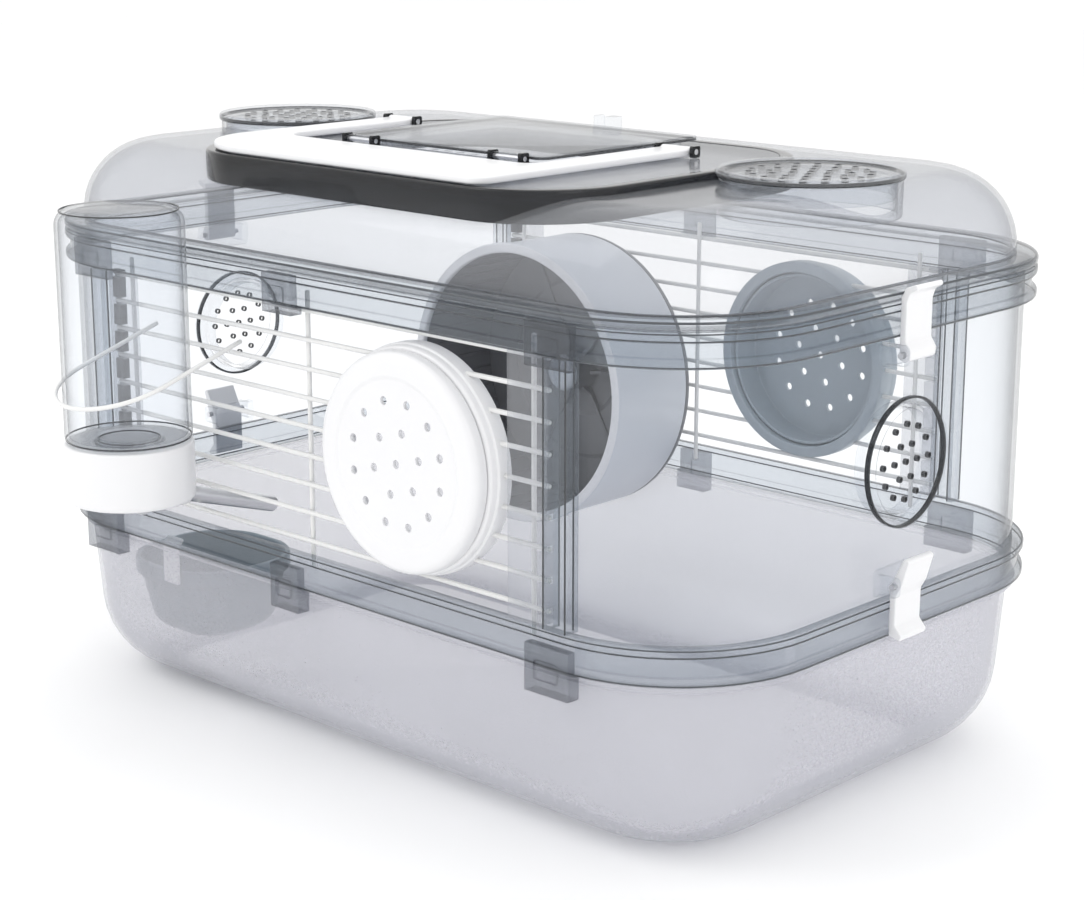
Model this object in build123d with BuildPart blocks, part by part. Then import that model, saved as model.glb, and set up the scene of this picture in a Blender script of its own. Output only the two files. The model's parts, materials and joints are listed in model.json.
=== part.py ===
from build123d import *
from math import atan2, degrees
import os

# A plastic and wire cage for a hamster or mouse: a deep tray, a see-through body with two wire sides,
# and a domed roof. Origin at the centre of the tray's base, +X to the right end, +Y to the back, +Z up.
# Millimetres.

# Driving dimensions of the whole cage, in plan and in height
RING_LENGTH = 410
RING_WIDTH = 260
RING_CORNER = 65
TRAY_TOP = 77
LOWER_RING_BOTTOM = 77.4
LOWER_RING_TOP = 92.5
UPPER_RING_BOTTOM = 196
UPPER_RING_TOP = 209.6
ROOF_RIM_BOTTOM = 210
ROOF_BASE = 214
ROOF_TOP = 248
DECK_TOP = 251

# Tray
TRAY_INSET_TOP = 6
TRAY_INSET_BASE = 12
TRAY_WALL = 2
TRAY_BASE_ROUND = 38
TRAY_SPLIT = 42
TRAY_RIM_INSET = 3
TRAY_RIM_HEIGHT = 3

# Rings and clear end walls, as insets from the ring's outline
RING_INNER = 5
RING_WEB = 2
RING_BEAD = 4
RING_ROUND = 1.2
RIM_ROUND = 1.4
TOUCH = 0.01
WALL_THICKNESS = 2

# Corner posts and clips
POST_INNER_X = 131
POST_OUTER_X = 143
POST_FRONT = 130
POST_BACK = 122.2
WING_INNER_X = 112
WING_THICKNESS = 1.4
CLIP_STANDOFF = 134.5
CLIP_LIP = 127.7
MIDDLE_CLIP_X = -12

# Wire sides
WIRE_RADIUS = 1
WIRE_PLANE = 125
WIRE_PITCH = 12.1
WIRE_COUNT = 9
LOWEST_WIRE = 98
WIRE_REACH = 130.6
CROSS_WIRE_PLANE = 123.2
CROSS_WIRES_X = [-121, -5, 121]

# Round doors in the wire sides
DOOR_HEIGHT = 145
FRONT_DOOR_X = 62
BACK_DOOR_X = 58
DOOR_RING_RADIUS = 46
DOOR_BORE_RADIUS = 40.7
DOOR_CAP_RADIUS = 44
DOOR_SKIRT_RADIUS = 40.3
DOOR_AIR_HOLE = 1.5
DOOR_HOLE_ROWS = [(0, 1), (13, 6), (25, 12)]
DOOR_CAP_BACK = 132.4
DOOR_CAP_DEPTH = 6.6
DOOR_SKIRT_DEPTH = 9
DOOR_RING_SET = 4
DOOR_RING_DEPTH = 11
DOOR_FACE = 2.6

# Vent caps in the end walls and port caps in the roof
END_CAP_RADIUS = 26
END_HOLE_RADIUS = 23
END_CAP_HEIGHT = 145
END_CAP_DEPTH = 3.4
END_SKIRT_DEPTH = 7
END_CAP_AIR_HOLE = 1.3
END_CAP_HOLE_ROWS = [(0, 1), (7.5, 6), (15, 12)]
PORT_X = 152
PORT_CAP_RADIUS = 37
PORT_HOLE_RADIUS = 34
PORT_COLLAR = 2
PORT_CAP_DEPTH = 3
PORT_SKIRT_DEPTH = 8
PORT_COLLAR_DEPTH = 14
PORT_AIR_HOLE = 1.4
PORT_HOLE_ROWS = [(0, 1), (8, 6), (16, 12), (24, 18)]
ROOF_ROUND = 32
ROOF_INSET = 9
ROOF_SHEET = 2

# Hatch deck, carrying handle and feeder lid on the roof
DECK_LEFT = -106
DECK_RIGHT = 118
DECK_FRONT = -114
DECK_BACK = 62
DECK_CORNER = 42
DECK_SIDE = 3
DECK_SIDE_BOTTOM = 236
HANDLE_LEFT = -100
HANDLE_RIGHT = 82
HANDLE_FRONT = -112
HANDLE_BAR = 44
HANDLE_ARM = 16
HANDLE_PIVOT_Y = 12
HANDLE_PIVOT_Z = 253.4
LID_LEFT = -62
LID_RIGHT = 58
LID_FRONT = -52
LID_BACK = 47
LID_PIVOT_Y = -55.5
LID_PIVOT_Z = 253.8
COLLAR_HEIGHT = 1.8

# Exercise wheel, on the back wires
WHEEL_X = -74
WHEEL_Z = 122.2
WHEEL_RADIUS = 68
WHEEL_FRONT = 66
WHEEL_BACK = 119
WHEEL_WALL = 2.2
HUB_RADIUS = 9
HUB_LENGTH = 16
AXLE_RADIUS = 3
AXLE_BORE = 3.06
TREADS = 48
RIBS = 6
DISC_THICKNESS = 2.4
BRACKET_SIZE = (44, 34)
BRACKET_THICKNESS = 2.4
BRACKET_HOOK_X = 14
AXLE_FLANGE = 6

# Bottle, hung outside the front wires
BOTTLE_X = -77
BOTTLE_Y = -161
BOTTLE_RADIUS = 26.5
BOTTLE_TOP = 233
BOTTLE_CAP_BOTTOM = 110
BOTTLE_CAP_TOP = 135
SPOUT_SLOPE = 0.305
SPOUT_WIRE_Z = 104.05
SPOUT_RADIUS = 3.5
SPOUT_TIP_Y = -84
HANGER_Y = -127
HANGER_Z = 174
HANGER_SLOPE = 0.32
HANGER_LEG = 38
HANGER_HOOK = 4.2
SPOUT_CONE_WIDE = 12
SPOUT_CONE_NARROW = 5.2
SPOUT_COLLAR_RADIUS = 5

# Food bowl, in the tray's front left corner
BOWL_X = -123
BOWL_Y = -83
BOWL_RADIUS = 31
BOWL_BOTTOM = 25
BOWL_TOP = 60

# Latches at both ends
LATCH_WIDTH = 17
LATCH_Y = -5
LATCH_PIVOT_X = 208.2
TOP_LATCH_Z = 190
BOTTOM_LATCH_Z = 99
LATCH_PIN_RADIUS = 1.25
LATCH_BORE = 1.32

WIRE_HEIGHTS = [LOWEST_WIRE + WIRE_PITCH * step for step in range(WIRE_COUNT)]


def ring_plan(inset, mode=Mode.ADD):
    """Draws the ring's rounded outline, drawn in by an inset."""
    RectangleRounded(RING_LENGTH - 2 * inset, RING_WIDTH - 2 * inset, RING_CORNER - inset, mode=mode)


def save(form, name):
    """Labels a finished piece and writes its STEP file."""
    form.label = name
    export_step(form, f"parts/{name}.step")


def mirrored(form, about):
    """The same piece on the other side of the cage."""
    with BuildPart() as other:
        mirror(form, about=about)
    return other.part


def save_right_and_left(form, name):
    save(form, f"{name}_right")
    save(mirrored(form, Plane.YZ), f"{name}_left")


os.makedirs("parts", exist_ok=True)


# Tray

def tub(inset, base):
    """The tray's solid form, drawn in by an inset and with its underside at a height."""
    growth = TRAY_INSET_BASE - TRAY_INSET_TOP
    draft = degrees(atan2(growth, TRAY_TOP))
    with BuildPart() as form:
        with BuildSketch(Plane.XY.offset(base)):
            ring_plan(TRAY_INSET_BASE + inset)
        extrude(amount=TRAY_TOP - base, taper=-draft)
        fillet(form.edges().group_by(Axis.Z)[0], TRAY_BASE_ROUND - inset)
    return form.part


tub_outside = tub(0, 0)
tub_inside = tub(TRAY_WALL, TRAY_WALL)

with BuildPart() as tray:
    add(tub_outside)
    with BuildSketch(Plane.XY.offset(TRAY_TOP - TRAY_RIM_HEIGHT)):
        ring_plan(TRAY_RIM_INSET)
        ring_plan(TRAY_INSET_TOP + 1, mode=Mode.SUBTRACT)
    extrude(amount=TRAY_RIM_HEIGHT)
    add(tub_inside, mode=Mode.SUBTRACT)

with BuildPart() as tray_floor:
    add(tray.part)
    split(bisect_by=Plane.XY.offset(TRAY_SPLIT), keep=Keep.BOTTOM)
save(tray_floor.part, "tray_floor")

with BuildPart() as tray_wall:
    add(tray.part)
    split(bisect_by=Plane.XY.offset(TRAY_SPLIT), keep=Keep.TOP)
save(tray_wall.part, "tray_wall")


# Rings and end walls

def is_level(edge):
    """True for an edge that lies in one horizontal plane."""
    return edge.bounding_box().size.Z < TOUCH


def on_outline(edge):
    """True for an edge that lies on the ring's outermost outline."""
    point = edge.position_at(0)
    straight = abs(abs(point.Y) - RING_WIDTH / 2) < TOUCH
    end = abs(abs(point.X) - RING_LENGTH / 2) < TOUCH
    return straight or end


def ring(bottom, top):
    """A rail round the whole cage with a bead along its bottom and its top edge."""
    with BuildPart() as rail:
        with BuildSketch(Plane.XY.offset(bottom)):
            ring_plan(RING_WEB)
        extrude(amount=top - bottom)
        with BuildSketch(Plane.XY.offset(bottom)):
            ring_plan(0)
        extrude(amount=RING_BEAD)
        with BuildSketch(Plane.XY.offset(top - RING_BEAD)):
            ring_plan(0)
        extrude(amount=RING_BEAD)
        beads = [edge for edge in rail.edges() if is_level(edge) and on_outline(edge)]
        fillet(beads, RING_ROUND)
        with BuildSketch(Plane.XY.offset(bottom)):
            ring_plan(RING_INNER)
        extrude(amount=top - bottom, mode=Mode.SUBTRACT)
    return rail.part


save(ring(LOWER_RING_BOTTOM, LOWER_RING_TOP), "lower_ring")
save(ring(UPPER_RING_BOTTOM, UPPER_RING_TOP), "upper_ring")

with BuildPart() as end_wall:
    with BuildSketch(Plane.XY.offset(LOWER_RING_BOTTOM + 2)):
        ring_plan(RING_INNER)
        ring_plan(RING_INNER + WALL_THICKNESS, mode=Mode.SUBTRACT)
        with Locations((POST_OUTER_X - RING_LENGTH / 2, 0)):
            Rectangle(RING_LENGTH, RING_WIDTH, mode=Mode.SUBTRACT)
    extrude(amount=UPPER_RING_TOP - LOWER_RING_BOTTOM - 3)
    with BuildSketch(Plane.YZ.offset(RING_LENGTH / 2 - 15)):
        with Locations((0, END_CAP_HEIGHT)):
            Circle(END_HOLE_RADIUS)
    extrude(amount=15, mode=Mode.SUBTRACT)
save_right_and_left(end_wall.part, "end_wall")


# Corner posts, each with a comb for the wires' ends and a thin wing beside it

post_height = UPPER_RING_BOTTOM - LOWER_RING_TOP
with BuildPart() as post:
    with BuildSketch(Plane.XY.offset(LOWER_RING_TOP)):
        with Locations(((POST_INNER_X + POST_OUTER_X) / 2, -(POST_FRONT + POST_BACK) / 2)):
            RectangleRounded(POST_OUTER_X - POST_INNER_X, POST_FRONT - POST_BACK, 1.5)
        with Locations(((POST_INNER_X + POST_OUTER_X) / 2, -POST_BACK)):
            RectangleRounded(6, 7, 1, mode=Mode.SUBTRACT)
    extrude(amount=post_height)
    with BuildSketch(Plane.XY.offset(LOWER_RING_TOP)):
        with Locations(((WING_INNER_X + POST_INNER_X) / 2, -(POST_FRONT - 2.2))):
            Rectangle(POST_INNER_X - WING_INNER_X + 1, WING_THICKNESS)
    extrude(amount=post_height)
    with BuildSketch(Plane.XZ.offset(POST_BACK - 2)):
        with Locations([(POST_INNER_X + 1, height + WIRE_PITCH / 2) for height in WIRE_HEIGHTS[:-1]]):
            SlotOverall(5, 2.4, rotation=90)
    extrude(amount=5, mode=Mode.SUBTRACT)
post_back = mirrored(post.part, Plane.XZ)
save_right_and_left(post.part, "front_post")
save_right_and_left(post_back, "back_post")


# Clips that lock the rings to the posts and to the wires

def clip(centre_x, width, bottom, top, ring_bottom, ring_top):
    """A block outside a ring, with a lip that reaches under or over the ring."""
    with BuildPart() as block:
        with BuildSketch(Plane.XY.offset(bottom)):
            with Locations((centre_x, -(CLIP_STANDOFF + CLIP_LIP) / 2)):
                Rectangle(width, CLIP_STANDOFF - CLIP_LIP)
        extrude(amount=top - bottom)
        fillet(block.faces().sort_by(Axis.Y)[0].edges(), 1)
        with BuildSketch(Plane.XY.offset(ring_bottom)):
            with Locations((centre_x, 0)):
                Rectangle(2 * width, RING_WIDTH)
        extrude(amount=ring_top - ring_bottom, mode=Mode.SUBTRACT)
        with BuildSketch(Plane.XZ.offset(CLIP_STANDOFF - 1)):
            with Locations((centre_x, (bottom + top) / 2)):
                RectangleRounded(width * 0.55, (top - bottom) * 0.4, 1)
        extrude(amount=3, mode=Mode.SUBTRACT)
    return block.part


post_x = (POST_INNER_X + POST_OUTER_X) / 2
lower_ends = (68.5, 87.5, LOWER_RING_BOTTOM, LOWER_RING_TOP)
upper_ends = (193, UPPER_RING_TOP, LOWER_RING_TOP, UPPER_RING_TOP)
corner_clips = [clip(side * post_x, 22, *ends) for side in (-1, 1) for ends in (lower_ends, upper_ends)]
middle_ends = [lower_ends, (193.4, UPPER_RING_TOP, UPPER_RING_BOTTOM, UPPER_RING_TOP)]
middle_clips = [clip(MIDDLE_CLIP_X, 17, *ends) for ends in middle_ends]
for name, blocks in (("corner_clips", corner_clips), ("middle_clips", middle_clips)):
    backs = [mirrored(block, Plane.XZ) for block in blocks]
    save(Compound(children=blocks + backs), name)


# Wire sides

def wire_side(door_x):
    """The front wires, cut away where the round door's ring passes through them."""
    with BuildPart() as wires:
        with BuildSketch(Plane.YZ.offset(-WIRE_REACH)):
            with Locations([(-WIRE_PLANE, height) for height in WIRE_HEIGHTS]):
                Circle(WIRE_RADIUS)
        extrude(amount=2 * WIRE_REACH)
        with BuildSketch(Plane.XY.offset(LOWER_RING_TOP - 6)):
            with Locations([(x, -CROSS_WIRE_PLANE) for x in CROSS_WIRES_X]):
                Circle(WIRE_RADIUS)
        extrude(amount=post_height + 12)
        with BuildSketch(Plane.XZ.offset(WIRE_PLANE - 5)):
            with Locations((door_x, DOOR_HEIGHT)):
                Circle(DOOR_RING_RADIUS)
        extrude(amount=10, mode=Mode.SUBTRACT)
    return wires.part


save(wire_side(FRONT_DOOR_X), "front_grille")
save(mirrored(wire_side(BACK_DOOR_X), Plane.XZ), "back_grille")


# Round doors: a ring fixed in the wires and a perforated cap that plugs into it

def door_ring(door_x):
    """The ring that the wires end in, with a plain bore for the cap's skirt."""
    with BuildPart() as collar:
        with BuildSketch(Plane.XZ.offset(WIRE_PLANE - DOOR_RING_SET)):
            with Locations((door_x, DOOR_HEIGHT)):
                Circle(DOOR_RING_RADIUS)
                Circle(DOOR_BORE_RADIUS, mode=Mode.SUBTRACT)
        extrude(amount=DOOR_RING_DEPTH)
        fillet(collar.faces().sort_by(Axis.Y)[0].edges().sort_by(SortBy.RADIUS)[-1], 1.2)
    return collar.part


def door_cap(door_x):
    """The cap's perforated face with its deep rounded rim."""
    with BuildPart() as cap:
        with BuildSketch(Plane.XZ.offset(DOOR_CAP_BACK)):
            with Locations((door_x, DOOR_HEIGHT)):
                Circle(DOOR_CAP_RADIUS)
        extrude(amount=DOOR_CAP_DEPTH)
        fillet(cap.faces().sort_by(Axis.Y)[0].edges(), 4)
        with BuildSketch(Plane.XZ.offset(DOOR_CAP_BACK)):
            with Locations((door_x, DOOR_HEIGHT)):
                Circle(DOOR_SKIRT_RADIUS - 3)
        extrude(amount=DOOR_CAP_DEPTH - DOOR_FACE, mode=Mode.SUBTRACT)
        for radius, count in DOOR_HOLE_ROWS:
            with BuildSketch(Plane.XZ.offset(DOOR_CAP_BACK)):
                with Locations((door_x, DOOR_HEIGHT)):
                    with PolarLocations(radius, count, start_angle=15):
                        Circle(DOOR_AIR_HOLE)
            extrude(amount=DOOR_CAP_DEPTH, mode=Mode.SUBTRACT)
    return cap.part


def door_skirt(door_x):
    """The cap's skirt, which plugs into the door ring."""
    with BuildPart() as skirt:
        with BuildSketch(Plane.XZ.offset(DOOR_CAP_BACK - DOOR_SKIRT_DEPTH)):
            with Locations((door_x, DOOR_HEIGHT)):
                Circle(DOOR_SKIRT_RADIUS)
                Circle(DOOR_SKIRT_RADIUS - 2, mode=Mode.SUBTRACT)
        extrude(amount=DOOR_SKIRT_DEPTH)
    return skirt.part


for name, make in (("door_ring", door_ring), ("door_cap", door_cap), ("door_skirt", door_skirt)):
    save(make(FRONT_DOOR_X), f"front_{name}")
    save(mirrored(make(BACK_DOOR_X), Plane.XZ), f"back_{name}")


# Vent caps in the end walls

cap_back = RING_LENGTH / 2 - RING_INNER + 0.4
with BuildPart() as end_cap:
    with BuildSketch(Plane.YZ.offset(cap_back)):
        with Locations((0, END_CAP_HEIGHT)):
            Circle(END_CAP_RADIUS)
    extrude(amount=END_CAP_DEPTH)
    fillet(end_cap.faces().sort_by(Axis.X)[-1].edges(), 1)
    with BuildSketch(Plane.YZ.offset(cap_back + 2)):
        with Locations((0, END_CAP_HEIGHT)):
            Circle(END_CAP_RADIUS - 2.2)
    extrude(amount=2, mode=Mode.SUBTRACT)
    for radius, count in END_CAP_HOLE_ROWS:
        with BuildSketch(Plane.YZ.offset(cap_back)):
            with Locations((0, END_CAP_HEIGHT)):
                with PolarLocations(radius, count):
                    Circle(END_CAP_AIR_HOLE)
        extrude(amount=4, mode=Mode.SUBTRACT)
save_right_and_left(end_cap.part, "end_cap")

with BuildPart() as end_cap_skirt:
    with BuildSketch(Plane.YZ.offset(cap_back - END_SKIRT_DEPTH)):
        with Locations((0, END_CAP_HEIGHT)):
            Circle(END_HOLE_RADIUS - 0.35)
            Circle(END_HOLE_RADIUS - 2, mode=Mode.SUBTRACT)
    extrude(amount=END_SKIRT_DEPTH)
save_right_and_left(end_cap_skirt.part, "end_skirt")


# Roof: a dome on a rim, with two round ports and a hatch opening

def dome(inset, mouth):
    """The roof's solid dome, drawn in by an inset, from a height up."""
    with BuildPart() as form:
        with BuildSketch(Plane.XY.offset(mouth)):
            ring_plan(ROOF_INSET + inset)
        extrude(amount=ROOF_TOP - inset - mouth)
        fillet(form.faces().sort_by(Axis.Z)[-1].edges(), ROOF_ROUND - inset)
    return form.part


dome_outside = dome(0, ROOF_BASE)
dome_inside = dome(ROOF_SHEET, ROOF_BASE)
feeder_centre = ((LID_LEFT + LID_RIGHT) / 2, (LID_FRONT + LID_BACK) / 2)
feeder_size = (LID_RIGHT - LID_LEFT - 16, LID_BACK - LID_FRONT - 14)

with BuildPart() as roof_shell:
    add(dome_outside)
    add(dome_inside, mode=Mode.SUBTRACT)
    with BuildSketch(Plane.XY.offset(ROOF_TOP - PORT_COLLAR_DEPTH)):
        with Locations((-PORT_X, 0), (PORT_X, 0)):
            Circle(PORT_HOLE_RADIUS + PORT_COLLAR)
        with Locations(feeder_centre):
            RectangleRounded(*feeder_size, 6)
    extrude(amount=20, mode=Mode.SUBTRACT)

with BuildPart() as flat_zone:
    with BuildSketch(Plane.XY.offset(ROOF_TOP - 2 * ROOF_SHEET)):
        ring_plan(ROOF_INSET + ROOF_ROUND)
    extrude(amount=4 * ROOF_SHEET)

with BuildPart() as roof_top:
    add(roof_shell.part)
    add(flat_zone.part, mode=Mode.INTERSECT)
save(roof_top.part, "roof_top")

with BuildPart() as roof_sides:
    add(roof_shell.part)
    add(flat_zone.part, mode=Mode.SUBTRACT)
save(roof_sides.part, "roof_sides")

with BuildPart() as port_collars:
    with BuildSketch(Plane.XY.offset(ROOF_TOP - PORT_COLLAR_DEPTH)):
        with Locations((-PORT_X, 0), (PORT_X, 0)):
            Circle(PORT_HOLE_RADIUS + PORT_COLLAR)
            Circle(PORT_HOLE_RADIUS, mode=Mode.SUBTRACT)
    extrude(amount=PORT_COLLAR_DEPTH + 2.6)
save(port_collars.part, "port_collars")

with BuildPart() as roof_rim:
    with BuildSketch(Plane.XY.offset(ROOF_RIM_BOTTOM)):
        ring_plan(0)
    extrude(amount=ROOF_BASE - ROOF_RIM_BOTTOM)
    fillet(roof_rim.edges().filter_by(is_level), RIM_ROUND)
    with BuildSketch(Plane.XY.offset(ROOF_RIM_BOTTOM)):
        ring_plan(11)
    extrude(amount=ROOF_BASE - ROOF_RIM_BOTTOM, mode=Mode.SUBTRACT)
save(roof_rim.part, "roof_rim")

port_base = ROOF_TOP + 2.9
with BuildPart() as roof_cap:
    with BuildSketch(Plane.XY.offset(port_base)):
        with Locations((PORT_X, 0)):
            Circle(PORT_CAP_RADIUS)
    extrude(amount=PORT_CAP_DEPTH)
    fillet(roof_cap.faces().sort_by(Axis.Z)[-1].edges(), 1)
    with BuildSketch(Plane.XY.offset(port_base + 1.6)):
        with Locations((PORT_X, 0)):
            Circle(PORT_CAP_RADIUS - 2.5)
    extrude(amount=3, mode=Mode.SUBTRACT)
    for radius, count in PORT_HOLE_ROWS:
        with BuildSketch(Plane.XY.offset(port_base)):
            with Locations((PORT_X, 0)):
                with PolarLocations(radius, count):
                    Circle(PORT_AIR_HOLE)
        extrude(amount=4, mode=Mode.SUBTRACT)
save_right_and_left(roof_cap.part, "roof_cap")

with BuildPart() as port_skirt:
    with BuildSketch(Plane.XY.offset(port_base - PORT_SKIRT_DEPTH)):
        with Locations((PORT_X, 0)):
            Circle(PORT_HOLE_RADIUS - 0.4)
            Circle(PORT_HOLE_RADIUS - 2.2, mode=Mode.SUBTRACT)
    extrude(amount=PORT_SKIRT_DEPTH)
save_right_and_left(port_skirt.part, "port_skirt")


# Hatch deck on the roof, with ears for the handle's and the lid's pins

deck_centre = ((DECK_LEFT + DECK_RIGHT) / 2, (DECK_FRONT + DECK_BACK) / 2)
deck_length = DECK_RIGHT - DECK_LEFT
deck_width = DECK_BACK - DECK_FRONT
with BuildPart() as hatch_deck:
    with BuildSketch(Plane.XY.offset(DECK_SIDE_BOTTOM)):
        with Locations(deck_centre):
            RectangleRounded(deck_length, deck_width, DECK_CORNER)
    extrude(amount=DECK_TOP - DECK_SIDE_BOTTOM)
    with BuildSketch(Plane.XY.offset(DECK_SIDE_BOTTOM)):
        with Locations(deck_centre):
            RectangleRounded(deck_length - 2 * DECK_SIDE, deck_width - 2 * DECK_SIDE,
                             DECK_CORNER - DECK_SIDE)
    extrude(amount=ROOF_TOP - DECK_SIDE_BOTTOM, mode=Mode.SUBTRACT)
    add(dome_outside, mode=Mode.SUBTRACT)
    with BuildSketch(Plane.XY.offset(ROOF_TOP - 1)):
        with Locations((-PORT_X, 0), (PORT_X, 0)):
            Circle(PORT_CAP_RADIUS + 1)
        with Locations(feeder_centre):
            RectangleRounded(*feeder_size, 6)
    extrude(amount=10, mode=Mode.SUBTRACT)
save(hatch_deck.part, "hatch_deck")

HANDLE_ARMS_X = [HANDLE_LEFT + HANDLE_ARM / 2, HANDLE_RIGHT - HANDLE_ARM / 2]
LID_KNUCKLES_X = [-46, 42]
LID_KNUCKLE = 14


def ears(centres, gap, y, z, pin):
    """Pairs of ears that stand on the deck each side of a gap, with a pin hole along X."""
    height = z + 2.4 - DECK_TOP
    with BuildPart() as pair:
        for x in centres:
            for side in (-1, 1):
                with BuildSketch(Plane.YZ.offset(x + side * (gap / 2 + 1.2) - 0.8)):
                    with Locations((y, DECK_TOP + height / 2)):
                        RectangleRounded(5, height, 1)
                extrude(amount=1.6)
        for x in centres:
            with BuildSketch(Plane.YZ.offset(x - gap)):
                with Locations((y, z)):
                    Circle(pin)
            extrude(amount=2 * gap, mode=Mode.SUBTRACT)
    return pair.part


def pins(centres, gap, y, z, pin):
    """One pin along X through each pair of ears."""
    with BuildPart() as group:
        with BuildSketch(Plane.YZ.offset(-gap / 2 - 2)):
            with Locations((y, z)):
                Circle(pin)
        extrude(amount=gap + 4)
    return Compound(children=[group.part.moved(Location((x, 0, 0))) for x in centres])


handle_gap = HANDLE_ARM + 0.8
lid_gap = LID_KNUCKLE + 0.8
save(ears(HANDLE_ARMS_X, handle_gap, HANDLE_PIVOT_Y, HANDLE_PIVOT_Z, 1.2), "handle_ears")
save(pins(HANDLE_ARMS_X, handle_gap, HANDLE_PIVOT_Y, HANDLE_PIVOT_Z, 1.2), "handle_pins")
save(ears(LID_KNUCKLES_X, lid_gap, LID_PIVOT_Y, LID_PIVOT_Z, 1), "lid_ears")
save(pins(LID_KNUCKLES_X, lid_gap, LID_PIVOT_Y, LID_PIVOT_Z, 1), "lid_pins")

with BuildPart() as feeder_collar:
    with BuildSketch(Plane.XY.offset(DECK_TOP)):
        with Locations(feeder_centre):
            RectangleRounded(feeder_size[0] + 8, feeder_size[1] + 6, 7)
            RectangleRounded(feeder_size[0] - 2, feeder_size[1] - 2, 5, mode=Mode.SUBTRACT)
    extrude(amount=COLLAR_HEIGHT)
    with BuildSketch(Plane.XY.offset(ROOF_TOP - 1)):
        with Locations(feeder_centre):
            RectangleRounded(feeder_size[0] - 0.6, feeder_size[1] - 0.6, 6)
            RectangleRounded(feeder_size[0] - 4, feeder_size[1] - 4, 5, mode=Mode.SUBTRACT)
    extrude(amount=DECK_TOP + COLLAR_HEIGHT - ROOF_TOP + 1)
    with BuildSketch(Plane.XY.offset(DECK_TOP + 0.8)):
        with Locations((feeder_centre[0], feeder_centre[1] - feeder_size[1] / 2 - 2)):
            with GridLocations(8, 1, 11, 1):
                Rectangle(4, 3)
    extrude(amount=2, mode=Mode.SUBTRACT)
save(feeder_collar.part, "feeder_collar")

with BuildPart() as lid_catch:
    with BuildSketch(Plane.XY.offset(DECK_TOP)):
        with Locations((0, LID_BACK + 4.5)):
            RectangleRounded(13, 6, 1.2)
    extrude(amount=8)
    with BuildSketch(Plane.XY.offset(DECK_TOP + 2)):
        with Locations((-2, LID_BACK + 4.5)):
            Rectangle(5, 8)
    extrude(amount=7, mode=Mode.SUBTRACT)
save(lid_catch.part, "lid_catch")


# Carrying handle, folded flat on the deck

handle_bottom = HANDLE_PIVOT_Z - 1.9
with BuildPart() as handle:
    with BuildSketch(Plane.XY.offset(handle_bottom)) as handle_plan:
        with BuildLine():
            Polyline((HANDLE_LEFT, HANDLE_PIVOT_Y), (HANDLE_LEFT, HANDLE_FRONT),
                     (HANDLE_RIGHT, HANDLE_FRONT), (HANDLE_RIGHT, HANDLE_PIVOT_Y),
                     (HANDLE_RIGHT - HANDLE_ARM, HANDLE_PIVOT_Y),
                     (HANDLE_RIGHT - HANDLE_ARM, HANDLE_FRONT + HANDLE_BAR),
                     (HANDLE_LEFT + HANDLE_ARM, HANDLE_FRONT + HANDLE_BAR),
                     (HANDLE_LEFT + HANDLE_ARM, HANDLE_PIVOT_Y), close=True)
        make_face()
        front_corners = handle_plan.vertices().group_by(Axis.Y)[0].sort_by(Axis.X)
        fillet(front_corners[0], 38)
        fillet(handle_plan.vertices().group_by(Axis.Y)[0].sort_by(Axis.X)[-1], 8)
    extrude(amount=3)
    with BuildSketch(Plane.YZ.offset(HANDLE_LEFT)):
        with Locations((HANDLE_PIVOT_Y, HANDLE_PIVOT_Z)):
            Circle(1.9)
    extrude(amount=HANDLE_ARM)
    with BuildSketch(Plane.YZ.offset(HANDLE_RIGHT - HANDLE_ARM)):
        with Locations((HANDLE_PIVOT_Y, HANDLE_PIVOT_Z)):
            Circle(1.9)
    extrude(amount=HANDLE_ARM)
    with BuildSketch(Plane.YZ.offset(HANDLE_LEFT)):
        with Locations((HANDLE_PIVOT_Y, HANDLE_PIVOT_Z)):
            Circle(1.26)
    extrude(amount=HANDLE_RIGHT - HANDLE_LEFT, mode=Mode.SUBTRACT)
save(handle.part, "handle")


# Feeder lid

with BuildPart() as feeder_lid:
    with BuildSketch(Plane.XY.offset(LID_PIVOT_Z - 0.6)):
        with Locations(feeder_centre):
            RectangleRounded(LID_RIGHT - LID_LEFT, LID_BACK - LID_FRONT, 5)
    extrude(amount=2)
    for x in LID_KNUCKLES_X:
        with BuildSketch(Plane.XY.offset(LID_PIVOT_Z - 0.6)):
            with Locations((x, (LID_PIVOT_Y + LID_FRONT) / 2 + 0.5)):
                Rectangle(LID_KNUCKLE, LID_FRONT - LID_PIVOT_Y + 1)
        extrude(amount=2)
        with BuildSketch(Plane.YZ.offset(x - LID_KNUCKLE / 2)):
            with Locations((LID_PIVOT_Y, LID_PIVOT_Z)):
                Circle(2)
        extrude(amount=LID_KNUCKLE)
    for x in LID_KNUCKLES_X:
        with BuildSketch(Plane.YZ.offset(x - LID_KNUCKLE)):
            with Locations((LID_PIVOT_Y, LID_PIVOT_Z)):
                Circle(1.06)
        extrude(amount=2 * LID_KNUCKLE, mode=Mode.SUBTRACT)
save(feeder_lid.part, "feeder_lid")


# Exercise wheel

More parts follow.
